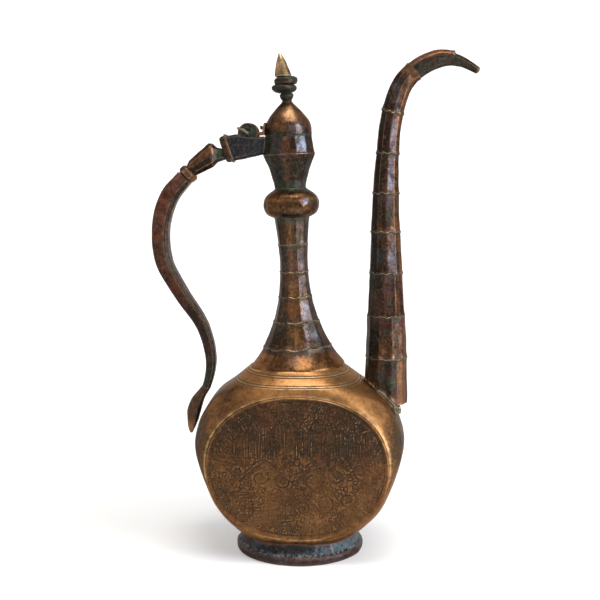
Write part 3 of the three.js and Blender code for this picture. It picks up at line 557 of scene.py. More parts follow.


# Each look's blue-grey colour tints both tarnish patches and the painted glints.
LOOKS = {
    "body_copper": dict(dark=(0.085, 0.04, 0.017), middle=(0.265, 0.122, 0.042), light=(0.44, 0.205, 0.068),
                        worn=(0.58, 0.34, 0.15), patina=(0.05, 0.042, 0.03), red=(0.2, 0.065, 0.03),
                        steel_and_glint=(0.16, 0.15, 0.13), metallic=0.82, roughness=0.38, coat=0.03, bump=0.25,
                        contrast=0.9, green=0.35, reds=0.3, steels=0.15, films=0.2, spots=0.35, pits=0.3),
    "neck_copper": dict(dark=(0.024, 0.015, 0.008), middle=(0.095, 0.043, 0.015), light=(0.3, 0.13, 0.04),
                        worn=(0.42, 0.26, 0.14), patina=(0.032, 0.03, 0.02), red=(0.13, 0.035, 0.018),
                        steel_and_glint=(0.1, 0.11, 0.14), metallic=0.78, roughness=0.3, bump=0.32, spots=0.6,
                        contrast=1.15, films=0.22, pits=0.35),
    "dark_copper": dict(dark=(0.014, 0.009, 0.006), middle=(0.062, 0.027, 0.012), light=(0.2, 0.08, 0.03),
                        worn=(0.3, 0.18, 0.11), patina=(0.028, 0.03, 0.022), red=(0.115, 0.026, 0.016),
                        steel_and_glint=(0.115, 0.12, 0.155), metallic=0.74, roughness=0.3, bump=0.4, contrast=1.35,
                        spots=0.75, films=0.5, pits=0.5, green=0.35),
    "grip_copper": dict(dark=(0.02, 0.012, 0.009), middle=(0.072, 0.026, 0.015), light=(0.16, 0.056, 0.03),
                        worn=(0.27, 0.16, 0.1), patina=(0.026, 0.026, 0.02), red=(0.1, 0.025, 0.018),
                        steel_and_glint=(0.12, 0.1, 0.12), metallic=0.7, roughness=0.3, bump=0.32, contrast=1.4,
                        spots=0.6, pits=0.4, films=0.35),
    "sleeve_patina": dict(dark=(0.018, 0.02, 0.025), middle=(0.085, 0.088, 0.105), light=(0.19, 0.18, 0.2),
                          worn=(0.3, 0.19, 0.12), patina=(0.022, 0.022, 0.024), verdigris=(0.08, 0.1, 0.1),
                          red=(0.075, 0.035, 0.04), steel_and_glint=(0.1, 0.12, 0.16), metallic=0.6, roughness=0.3,
                          bump=0.42, steels=0.6),
    "engraved_disc": dict(dark=(0.04, 0.02, 0.01), middle=(0.135, 0.059, 0.02), light=(0.235, 0.11, 0.04),
                          worn=(0.42, 0.22, 0.09), patina=(0.028, 0.018, 0.011), red=(0.13, 0.04, 0.02),
                          steel_and_glint=(0.09, 0.085, 0.08), metallic=0.62, roughness=0.42, coat=0.03, bump=0.4,
                          green=0.2, reds=0.45, steels=0.1, films=0.2, spots=0.5, pits=0.3),
    "foot_patina": dict(dark=(0.014, 0.013, 0.012), middle=(0.03, 0.038, 0.043), light=(0.1, 0.135, 0.155),
                        worn=(0.15, 0.068, 0.045), patina=(0.02, 0.02, 0.019), verdigris=(0.22, 0.29, 0.32),
                        red=(0.07, 0.028, 0.02), steel_and_glint=(0.11, 0.15, 0.18), metallic=0.6, bump=1.0,
                        contrast=1.8, green=0.9, reds=0.45, steels=0.5, films=0.7),
    "solder_patina": dict(dark=(0.055, 0.033, 0.02), middle=(0.12, 0.066, 0.035), light=(0.22, 0.14, 0.08),
                          worn=(0.36, 0.26, 0.17), patina=(0.045, 0.05, 0.035), verdigris=(0.17, 0.22, 0.17),
                          metallic=0.6, roughness=0.46, bump=0.6, green=0.9),
    "finial_brass": dict(dark=(0.08, 0.045, 0.022), middle=(0.27, 0.165, 0.075), light=(0.45, 0.3, 0.15),
                         worn=(0.66, 0.47, 0.25), patina=(0.035, 0.028, 0.018), red=(0.25, 0.1, 0.04),
                         steel_and_glint=(0.16, 0.17, 0.19), metallic=0.9, roughness=0.28, bump=0.4,
                         contrast=1.4, reds=0.35, films=0.4, spots=0.6),
    "iron_wire": dict(dark=(0.015, 0.012, 0.01), middle=(0.03, 0.024, 0.018), light=(0.06, 0.045, 0.035),
                      worn=(0.36, 0.28, 0.22), patina=(0.015, 0.012, 0.01), metallic=0.6, roughness=0.45,
                      bump=0.5, green=0.1, reds=0.1, steels=0.1),
}
MATERIALS = {name: aged_copper(name, **look) for name, look in LOOKS.items()}


# Body form: half-width against height, rounded below and above and wide and flat-faced between

BODY_BOTTOM = 11.5
BODY_HEIGHT = 131.5
NECK_SEAT = BODY_BOTTOM + BODY_HEIGHT
BELLY_RADIUS = 78.2
BELLY_SHIFT = 0.6
BOTTOM_RADIUS = 37.0
FACE_DEPTH = 48.0
FACE_EDGE = 14
SHEET = 1.2
SHOULDER = [(38.6, NECK_SEAT - 3.4), (35.0, NECK_SEAT), (31.4, NECK_SEAT + 3.4)]
BODY_SHARES = [(0.55, 0.022), (0.676, 0.09), (0.854, 0.243), (1, 0.52), (0.972, 0.675), (0.833, 0.817),
               (0.634, 0.908)]
BODY_OUTLINE = spline([(BOTTOM_RADIUS, BODY_BOTTOM)]
                      + scaled(BODY_SHARES, BELLY_RADIUS, BODY_BOTTOM, BODY_HEIGHT) + SHOULDER, 2000)
GROOVES = (NECK_SEAT - 2.7, NECK_SEAT - 3.9, NECK_SEAT - 8.9, NECK_SEAT - 10.3)
GROOVE_WIDTH = 0.26
GROOVE_DEPTH = 0.22
GROOVE_ROWS = (-0.6, -0.4, -0.22, -0.1, 0, 0.1, 0.22, 0.4, 0.6)
EDGE_START, EDGE_SLOPE, EDGE_BEND, EDGE_BLEND = 0.4, 0.6, 0.06, 2.0
SEAT_DEPTH = 2.2
SEAT_LEDGE = 3.5
SPOUT_HOLE = 7.5


def body_heights(count, fine=()):
    """Heights evenly along the outline, with closer rows about the fine ones."""
    run = run_along(BODY_OUTLINE)
    heights = list(np.interp(np.linspace(0, run[-1], count), run, BODY_OUTLINE[:, 1]))
    for height in fine:
        heights = [h for h in heights if abs(h - height) > 0.75 or h in (heights[0], heights[-1])]
    heights += [height + step for height in fine for step in GROOVE_ROWS]
    heights = sorted(heights)
    return np.array([h for i, h in enumerate(heights) if i == 0 or h - heights[i - 1] > 0.05])


def past_oval(x, z):
    """How far a point lies outside the discs' outline, in millimetres."""
    across, up = np.abs(x) / DISC_HALF_WIDTH, np.abs(z - DISC_HEIGHT) / DISC_HALF_HEIGHT
    size = np.maximum((across ** OVAL_POWER + up ** OVAL_POWER) ** (1 / OVAL_POWER), 1e-6)
    return (1 - 1 / size) * np.hypot(x, z - DISC_HEIGHT)


def soft_least(first, second, blend):
    share = np.clip(0.5 + 0.5 * (second - first) / blend, 0, 1)
    return second * (1 - share) + first * share - blend * share * (1 - share)


def body_rows(heights, columns, grow=0.0, half_depth=None):
    half_depth = FACE_DEPTH + grow if half_depth is None else half_depth
    angle = round_angles(columns)
    s, c = np.sin(angle)[None, :], np.cos(angle)[None, :]
    share = np.clip((heights - BODY_BOTTOM) / BODY_HEIGHT, 0, 1)[:, None]
    power = 2 + np.sin(math.pi * share) ** 0.5
    wide = np.interp(heights, BODY_OUTLINE[:, 1], BODY_OUTLINE[:, 0])[:, None] + grow
    reach = wide / (np.abs(s) ** power + np.abs(c) ** power) ** (1 / power)
    free = np.abs(c) * reach
    depth = free / (1 + (free / half_depth) ** FACE_EDGE) ** (1 / FACE_EDGE)
    above = np.maximum(0, heights[:, None] - LEAN_PIVOT)
    centre = BELLY_SHIFT * np.sin(math.pi * share) - above * math.tan(LEAN)
    z = np.repeat(heights[:, None], columns, 1)
    beside = centre + s * reach - BELLY_SHIFT
    past = past_oval(beside, z) + EDGE_START - grow
    sideways = 0.2 + 0.8 * np.abs(beside) / np.maximum(np.hypot(beside, z - DISC_HEIGHT), 1)
    fall = half_depth - sideways * (EDGE_SLOPE * past + EDGE_BEND * np.maximum(past, 0) ** 2)
    depth = np.maximum(soft_least(depth, fall, EDGE_BLEND), 0) * (np.abs(c) > 1e-9)
    z[0] -= grow
    return np.stack([centre + s * reach, -np.sign(c) * depth, z], -1)


def body_form(name, grow, half_depth=None, rows=60, columns=160):
    return build_piece(name, at_foot(body_rows(body_heights(rows), columns, grow, half_depth)))


def at_foot(rows):
    return stand(rows.reshape(-1, 3)).reshape(rows.shape)


def at_neck(rows):
    return lean(rows.reshape(-1, 3)).reshape(rows.shape)


# Oval discs

DISC_HALF_WIDTH = BELLY_RADIUS - 11.2
DISC_HALF_HEIGHT = BODY_HEIGHT / 2 - 12.35
DISC_HEIGHT = BODY_BOTTOM + BODY_HEIGHT / 2 - 4.05
OVAL_POWER = 2.2


def oval(angle, inset=0.0):
    """Distances across and up of the discs' outline from their middle."""
    c, s = np.cos(angle), np.sin(angle)
    reach = (np.abs(c) ** OVAL_POWER + np.abs(s) ** OVAL_POWER) ** (-1 / OVAL_POWER)
    return c * reach * (DISC_HALF_WIDTH - inset), s * reach * (DISC_HALF_HEIGHT - inset)


def oval_prism(name, inset, near, far, columns=400):
    across, up = oval(round_angles(columns), inset)
    rows = np.stack([np.stack([BELLY_SHIFT + across, np.full(columns, depth), DISC_HEIGHT + up], -1)
                     for depth in (near, far)])
    return build_piece(name, at_foot(rows))


# Helpers for masks and cutters

def nearest(p, line):
    """The row of a line of x, z and sizes that is nearest to each place."""
    return line[np.argmin((p.x[:, None] - line[:, 0]) ** 2 + (p.z[:, None] - line[:, 1]) ** 2, axis=1)]


def share_up(p, low, high):
    return (p.z - low) / (high - low)


def upright_bar(name, radius, x, low, high, columns=32):
    rows = turned([[radius, low], [radius, high]], columns)
    rows[..., 0] += x
    return build_piece(name, at_foot(rows))


def lean_block(name, low, high):
    made = block(name, low, high)
    set_points(made.data, lean(flat_points(made.data)))
    return made


SPOUT_X = BELLY_RADIUS - 13.2


def body():
    rows = body_rows(body_heights(150, GROOVES), 400)
    heights = rows[..., 2]
    cutting = sum(hump(heights, groove, GROOVE_WIDTH) for groove in GROOVES)
    swell = dents_over(rows, (0.28, 24, 11), (0.09, 8, 12))
    free = smoothstep(0, 3, NECK_SEAT - heights) * smoothstep(0, 6, heights - BODY_BOTTOM)
    along = np.gradient(rows, axis=0)
    beside = np.roll(rows, -1, 1) - np.roll(rows, 1, 1)
    normal = np.cross(beside, along)
    normal /= np.maximum(np.linalg.norm(normal, axis=-1), 1e-9)[..., None]
    rows = rows + normal * (swell * free - GROOVE_DEPTH * cutting)[..., None]
    made = build_piece("body_bowl", at_foot(rows))
    inner_depth = FACE_DEPTH - SEAT_DEPTH - SHEET
    cutters = [body_form("inside", -SHEET, inner_depth)]
    for side in (-1, 1):
        outside = side * (FACE_DEPTH + 3)
        cutters.append(oval_prism("seat", -0.2, side * (FACE_DEPTH - SEAT_DEPTH), outside))
        cutters.append(oval_prism("window", SEAT_LEDGE, side * (inner_depth - SHEET), outside))
    cutters.append(lean_block("above", (-90, -90, NECK_SEAT), (90, 90, NECK_SEAT + 60)))
    cutters.append(upright_bar("hole", SPOUT_HOLE, SPOUT_X, DISC_HEIGHT, NECK_SEAT))
    carve(made, *cutters)

    def grooves(p):
        return sum(hump(p.z, groove, 0.34) for groove in GROOVES) * (np.hypot(p.x, p.y) > 30)

    masks = {"grime": lambda p: 0.5 * grooves(p) + body_grime(p), "wear": body_wear, "tone": body_tone}
    finish_piece(made, "vessel", "body_copper", "body_shell", upright=False, masks=masks)


def body_grime(p):
    """Painted shade on the far left and right sides, along the left edge of the disc and low down above the
    foot, and dark patches on the shoulder by the spout.
    """
    x, y, z = p[:3]
    by_spout = hump(x, 35, 10) * hump(z, 136, 6) * (y < 0)
    left_side = smoothstep(-62, -75, x) * hump(z, 92, 28)
    right_side = smoothstep(68, 76, x) * hump(z, 96, 26)
    foot = smoothstep(17, 12, z)
    rim = hump(past_oval(x - BELLY_SHIFT, z), 0.7, 0.9) * smoothstep(-25, -50, x) * (y < 0)
    return 0.5 * rim + 0.3 * by_spout + 0.6 * left_side + 0.5 * right_side + 0.6 * foot


def body_wear(p):
    x, y, z = p[:3]
    band = hump(z, (GROOVES[0] + GROOVES[1]) / 2, 0.3) + hump(z, (GROOVES[2] + GROOVES[3]) / 2, 0.35)
    angle = np.arctan2(z - DISC_HEIGHT, x - BELLY_SHIFT)
    # The rim term is a painted highlight along the upper right of the disc's edge.
    rim = hump(past_oval(x - BELLY_SHIFT, z), 0.5, 0.5) * (np.abs(y) > 40) * hump(angle, 1.2, 1.0)
    return 0.2 * band + 0.6 * rim


def body_tone(p):
    """Painted highlights on the shoulder, low on both sides and at the upper right; painted shade at the
    widest part and at the upper left; darker just outside the lower half of the disc.
    """
    x, z = p.x, p.z
    shoulder = hump(z, 134, 10) * hump(x, -14, 38)
    low_left = hump(x, -58, 20) * hump(z, 40, 22)
    low_right = hump(x, 60, 16) * hump(z, 46, 22)
    side = smoothstep(58, 76, np.abs(x - 0.6)) * hump(z, 92, 30)
    left = smoothstep(-30, -58, x) * hump(z, 126, 18)
    right = hump(x, 42, 16) * hump(z, 124, 12)
    below = hump(past_oval(x - BELLY_SHIFT, z), 0.5, 1.5) * smoothstep(DISC_HEIGHT + 20, DISC_HEIGHT - 20, z)
    light = 0.35 * shoulder + 0.35 * low_left + 0.4 * low_right + 0.4 * right
    return light - 0.9 * side - 0.6 * left - 0.8 * below


# Chased ornament: strokes cut in the discs, in millimetres from their middle

def wobbly(points, seed, amount=0.35):
    points = np.asarray(points, float)
    flat = np.stack([points[:, 0], points[:, 1], np.zeros(len(points))], 1)
    return points + amount * np.stack([ripple(flat, 7, seed), ripple(flat, 7, seed + 1)], 1)


def straight(x0, z0, x1, z1, count=6):
    return np.stack([np.linspace(x0, x1, count), np.linspace(z0, z1, count)], 1)


def circle(x, z, radius, count, start=0.0, sweep=2 * math.pi):
    angle = start + np.linspace(0, sweep, count)
    return np.stack([x + radius * np.cos(angle), z + radius * np.sin(angle)], 1)


def spiral(x, z, radius, turns, hand, start, count=30):
    share = np.linspace(0, 1, count)
    angle = start + hand * turns * 2 * math.pi * share
    reach = radius * (1 - 0.85 * share)
    return np.stack([x + reach * np.cos(angle), z + reach * np.sin(angle)], 1)


def leaf_strokes(x, z, length, angle, width, depth):
    """Both edges of a pointed leaf."""
    share = np.linspace(0, 1, 8)
    along = length * share
    strokes = []
    for hand in (-1, 1):
        off = hand * width * length * np.sin(math.pi * share)
        edge = np.stack([x + along * math.cos(angle) - off * math.sin(angle),
                         z + along * math.sin(angle) + off * math.cos(angle)], 1)
        strokes.append((edge, 0.34, depth))
    return strokes


def from_middle(x, z, reach, angle):
    return x + reach * math.cos(angle), z + reach * math.sin(angle)


def floret_strokes(x, z, radius, turn):
    strokes = [(circle(x, z, radius * 0.3, 9), 0.35, 0.8)]
    for petal in range(6):
        angle = turn + petal * math.pi / 3
        strokes += leaf_strokes(*from_middle(x, z, radius * 0.4, angle), radius * 0.75, angle, 0.4, 0.9)
    return strokes


def arcade_strokes(rng):
    """Columns and pointed arches under the upper border, with upright hatching between them."""
    strokes = []
    pitch, foot, spring = 9.2, 8.0, 27.0
    for number in range(-6, 7):
        x = number * pitch + rng.uniform(-0.5, 0.5)
        edge = 1 - (abs(x) / 60) ** 2.2
        if edge <= 0.1:
            continue
        top = min(spring, 44 * edge ** 0.5 - 10)
        strokes += [(straight(x + shift, foot, x + shift, top), 0.36, 1) for shift in (-0.9, 0.9)]
        strokes += [(straight(x - 2, level, x + 2, level, 3), 0.36, 0.9) for level in (foot, top, top + 1.1)]
        for hand in (-1, 1):
            share = np.linspace(0, 1, 9)
            rise = 1.5 + 7 * np.sin(share * math.pi / 2) ** 1.3
            strokes.append((np.stack([x + hand * pitch / 2 * share, top + rise], 1), 0.38, 1))
        for strand in np.arange(2.6, pitch - 1.6, 1.35):
            low = foot + rng.uniform(0.5, 6)
            high = top + 5.5 * math.sin(math.pi * strand / pitch) - rng.uniform(0.5, 5)
            if high > low + 3:
                strokes.append((straight(x + strand, low, x + strand + rng.uniform(-0.4, 0.4), high), 0.3,
                                rng.uniform(0.5, 0.95)))
        strokes += floret_strokes(x + pitch / 2, foot - 3.2, 1.9, 0.3) if number % 2 else []
    return strokes


def scroll_strokes(rng):
    """Foliage scrolls across the middle and the lower right."""
    strokes = []
    homes = [(-44, -2, 7.5, 1), (-27, -6, 8.5, -1), (-10, -9, 6.5, 1), (12, -8, 7.5, -1), (29, -4, 8.5, 1),
             (46, -1, 7, -1), (20, -25, 8, 1), (37, -22, 7, -1), (4, -29, 7, -1), (52, -14, 4.5, 1)]
    for x, z, radius, hand in homes:
        start = rng.uniform(0, 2 * math.pi)
        strokes.append((spiral(x, z, radius, 1.6, hand, start), 0.42, 1))
        strokes.append((spiral(x, z, radius * 0.86, 1.4, hand, start + 0.2), 0.36, 0.8))
        for step in range(7):
            angle = start + hand * step * 0.9
            strokes += leaf_strokes(*from_middle(x, z, radius, angle), 4.2, angle + hand * 0.7, 0.28, 0.85)
        strokes += floret_strokes(x, z, radius * 0.3, start)
    for x, z, length, lift in ((-54, 3, 60, 7), (-4, -17, 50, 6), (6, 2, 50, -5)):
        share = np.linspace(0, 1, 22)
        stem = np.stack([x + length * share, z - lift * np.sin(share * 3 * math.pi) - 6 * share], 1)
        strokes.append((stem, 0.42, 0.9))
    return strokes


def field_strokes(rng):
    """Hatched ground at the lower left, with small tiles, and leaf tips along the bottom."""
    strokes = []
    for level in np.arange(-41, -17, 1.75):
        reach = 58 * (1 - (abs(level) / 54) ** 2.2) ** (1 / 2.2)
        share = np.linspace(0, 1, 20)
        line = np.stack([-reach + 6 + (reach - 8) * share, level + 0.7 * np.sin(share * 9 + level)], 1)
        strokes.append((line, 0.32, rng.uniform(0.5, 0.95)))
    for x in np.arange(-45, -4, 3.1):
        low = -40 + rng.uniform(0, 8)
        strokes.append((straight(x, low, x + rng.uniform(-1, 1), low + rng.uniform(3, 12)), 0.32, 0.8))
    for number in range(-7, 8):
        x = number * 6.2
        strokes += leaf_strokes(x, -45.5 + 0.004 * x * x, 4.6, math.pi / 2, 0.3, 0.8)
    for _ in range(460):
        x, z = rng.uniform(-58, 58), rng.uniform(-46, 42)
        radius = rng.uniform(0.9, 2.6)
        curl = circle(x, z, radius, 9, rng.uniform(0, 6.3), rng.uniform(2.0, 4.6))
        strokes.append((curl, 0.28, rng.uniform(0.6, 1)))
    for _ in range(700):
        angle = rng.choice([math.pi / 2, 0.0, 0.8], p=[0.5, 0.3, 0.2]) + rng.uniform(-0.3, 0.3)
        x, z = rng.uniform(-58, 58), rng.uniform(-45, 40)
        length = rng.uniform(1.2, 4)
        line = straight(x, z, *from_middle(x, z, length, angle), 3)
        strokes.append((line, 0.27, rng.uniform(0.45, 0.9)))
    return strokes


def border_strokes():
    strokes = []
    ring = np.linspace(0, 2 * math.pi, 160)
    for inset in (3.6, 10.2):
        strokes.append((np.stack(oval(ring, inset), 1), 0.36, 0.8))
    run = np.stack(oval(np.linspace(0, 2 * math.pi, 2000), 6.9), 1)
    length = run_along(run)
    count = 38
    for number in range(count):
        at = length[-1] * number / count
        x, z = np.interp(at, length, run[:, 0]), np.interp(at, length, run[:, 1])
        strokes += floret_strokes(x, z, 2.9, number * 0.4)
    return strokes


STROKE_WIDTH = 1.7
CUT_DEPTH = 0.6
DISC_DEPTH, DISC_CROWN = 47.0, 2.05
DISC_BACK, DISC_BACK_CROWN = 46.1, 2.0
DISC_RINGS = (1.0, 0.7, 0.4, 0.12)
DISC_COLUMNS, DISC_ROWS = 340, 270


def engraving(across, up, seed):
    """Depth of the chased strokes at each point, 0 to 1."""
    rng = np.random.default_rng(seed)
    strokes = border_strokes() + arcade_strokes(rng) + scroll_strokes(rng) + field_strokes(rng)
    total = np.zeros(across.shape)
    for number, (line, width, depth) in enumerate(strokes):
        line = wobbly(line, seed + number)
        width *= STROKE_WIDTH
        reach = 2.6 * width
        low, high = line.min(0) - reach, line.max(0) + reach
        near = np.nonzero((across > low[0]) & (across < high[0]) & (up > low[1]) & (up < high[1]))[0]
        if not len(near):
            continue
        here = np.stack([across[near], up[near]], 1)
        best = np.full(len(near), np.inf)
        for start, end in zip(line[:-1], line[1:]):
            way = end - start
            share = np.clip(((here - start) @ way) / max(way @ way, 1e-9), 0, 1)
            best = np.minimum(best, np.linalg.norm(here - start - share[:, None] * way, axis=1))
        total[near] = np.maximum(total[near], depth * hump(best, 0, width))
    worn = 0.72 + 0.32 * ripple(np.stack([across, up, across * 0], -1), 13, seed + 5)
    return total * np.clip(worn, 0.45, 1)


def disc_mesh(name, front, side):
    """A closed disc from a grid of points on its face. Rings close its back."""
    index = np.arange(front[..., 0].size).reshape(front.shape[:2])
    front = front.reshape(-1, 3)
    quads = np.stack([index[:-1, :-1], index[:-1, 1:], index[1:, 1:], index[1:, :-1]], -1).reshape(-1, 4)
    rim = np.concatenate([index[0, :-1], index[:-1, -1], index[-1, :0:-1], index[:0:-1, 0]])
    points, faces, last = [front], [quads], rim
    total = len(front)
    middle = np.array([BELLY_SHIFT, 0, DISC_HEIGHT])
    for shrink in DISC_RINGS:
        ring = middle + (front[rim] - middle) * [shrink, 0, shrink]
        ring[:, 1] = side * (DISC_BACK + DISC_BACK_CROWN * (1 - shrink ** 2))
        here = total + np.arange(len(rim))
        points.append(ring)
        faces.append(np.stack([last, np.roll(last, -1), np.roll(here, -1), here], -1))
        last, total = here, total + len(rim)
    mesh = mesh_of(name, stand(np.concatenate(points)), *faces, last[None, :])
    with editing(mesh) as bm:
        bmesh.ops.recalc_face_normals(bm, faces=bm.faces)
    return mesh


def medallion(name, node, side, seed):
    """Crowned oval disc with a rolled rim and chased ornament on its face."""
    a, b = np.meshgrid(np.linspace(-1, 1, DISC_COLUMNS), np.linspace(-1, 1, DISC_ROWS))
    p, q = a * np.sqrt(1 - b * b / 2), b * np.sqrt(1 - a * a / 2)
    share, angle = np.hypot(p, q), np.arctan2(q, p)
    edge_x, edge_z = oval(angle, -0.15)
    x, z = share * edge_x, share * edge_z
    inset = (1 - share) * np.hypot(edge_x, edge_z)
    cutting = engraving(x.ravel(), z.ravel(), seed).reshape(x.shape)
    cutting *= smoothstep(2.6, 3.4, inset)
    plane = np.stack([x, z, 0 * x], -1)
    field = DISC_DEPTH + DISC_CROWN * (1 - share ** 2)
    field = field + dents_over(plane, (0.12, 14, seed + 3), (0.05, 4, seed + 4))
    # The rolled rim rises higher towards the upper right, where it also gets a painted highlight.
    upper, right = smoothstep(-0.1, 0.6, np.sin(angle)), smoothstep(-0.9, 0.5, np.cos(angle))
    strong = 0.15 + 0.85 * upper * (0.55 + 0.45 * right)
    lip = 1.15 * strong * hump(inset, 1.0, 0.85) - 0.5 * hump(inset, 0, 0.35)
    depth = field + lip - CUT_DEPTH * cutting - 0.15 * strong * hump(inset, 2.9, 0.7)
    front = np.stack([BELLY_SHIFT - side * x, side * depth, DISC_HEIGHT + z], -1)
    mesh = disc_mesh(name, front, side)
    made = piece_object(name, mesh)
    behind = len(mesh.vertices) - cutting.size
    # The rim's highlight is painted; the cuts are darkened with dark patina and painted shade, and are kept
    # dark.
    lip_highlight, cut_mask = (np.pad(values.ravel(), (0, behind))
                          for values in (strong * hump(inset, 1.0, 0.8), cutting))
    masks = {"wear": 0.55 * lip_highlight - 0.5 * cut_mask, "grime": 0.6 * cut_mask - 0.4 * lip_highlight,
             "tone": disc_tone}
    finish_piece(made, "vessel", "engraved_disc", node, upright=False, masks=masks, wear=(0.12, 0.7),
                 grime=(0.1, 0.35), passes=1)


def disc_tone(p):
    """Dark and purplish above, golden below."""
    x, up = p.x, p.z - DISC_HEIGHT
    dark = hump(x, -17, 5) * hump(up, 18, 7)
    violet = hump(x, 30, 26) * hump(up, 30, 12)
    above, below = smoothstep(-4, 16, up + 3 * np.sin(x / 11)), smoothstep(0, -20, up)
    return 0.1 * below - 0.45 * above - 0.9 * dark - 0.3 * violet


# Ring foot

FOOT_OUTSIDE = [(1.5, 0), (0.45, 0.7), (0, 2.4), (0.15, 4.5), (1.1, 6.0), (2.3, 6.9), (3.7, 9.4), (4.7, 12.6),
                (5.1, 17.0)]
FOOT_INSIDE = [(7.1, 17.0), (6.9, 10.2), (3.6, 5.0), (3.4, 0)]
FOOT_INNER_RADIUS = 43


def foot():
    rim = span("foot_ring", False)[2]
    outer = spline([(rim - inset, height) for inset, height in FOOT_OUTSIDE], 46)
    inner = spline([(rim - inset, height) for inset, height in FOOT_INSIDE], 14)
    rows = turned(np.concatenate([outer, inner]), 300)
    angle, height = around(rows), rows[..., 2]
    low = smoothstep(9, 5, height)
    notch = hump(angle, 1.05, 0.045) * hump(height, 6, 1.6)
    dented = dents_over(rows, (0.3, 11, 31), (0.12, 4, 32)) - 0.8 * notch
    outside = (height > 0.3) * (np.hypot(rows[..., 0], rows[..., 1]) > FOOT_INNER_RADIUS)
    rows = fatter(rows, dented * (0.4 + 0.6 * low) * outside)
    made = build_piece("foot_band", at_foot(rows), wrap_rows=True)
    carve(made, body_form("above", 0.05, rows=90, columns=240))

    # Painted shade in the crease above the rim and under the body; the band is painted lighter towards the
    # right, where the window's light falls, and darker on the rim.
    masks = {"wear": lambda p: 0.45 * hump(p.z, 1.6, 1.6) + 0.4 * hump(p.z, 5.6, 0.8),
             "grime": lambda p: 0.8 * hump(p.z, 7.0, 1.2) + 0.5 * smoothstep(15, 17, p.z),
             "tone": lambda p: 1.4 * smoothstep(-45, 40, p.x) - 1.2 - 0.8 * smoothstep(7, 4, p.z)}
    finish_piece(made, "vessel", "foot_patina", "foot_ring", upright=False, masks=masks)


# Neck, bulb and cup in the upright frame

NECK_FOOT, NECK_TOP, NECK_FOOT_RADIUS = span("neck")
BULB_FOOT, BULB_TOP, BULB_RADIUS = span("neck_bulb")
CUP_FOOT, CUP_TOP, CUP_RADIUS = span("mouth_cup")
LID_FOOT, LID_TOP, LID_RADIUS = span("lid_dome")
CUP_WAIST = 11.8
KEEL_SHARE = 0.645
CUP_MOUTH = LID_RADIUS + 0.4
NECK_WAIST, NECK_WAIST_RISE, NECK_TOP_RADIUS = 10.7, 76.0, 13.4
NECK_SIDES, BULB_SIDES, CUP_SIDES = 10, 12, 12
NECK_SKIRT = 2.2
RIDGE_SHARES = (0.126, 0.297, 0.464, 0.633, 0.818)


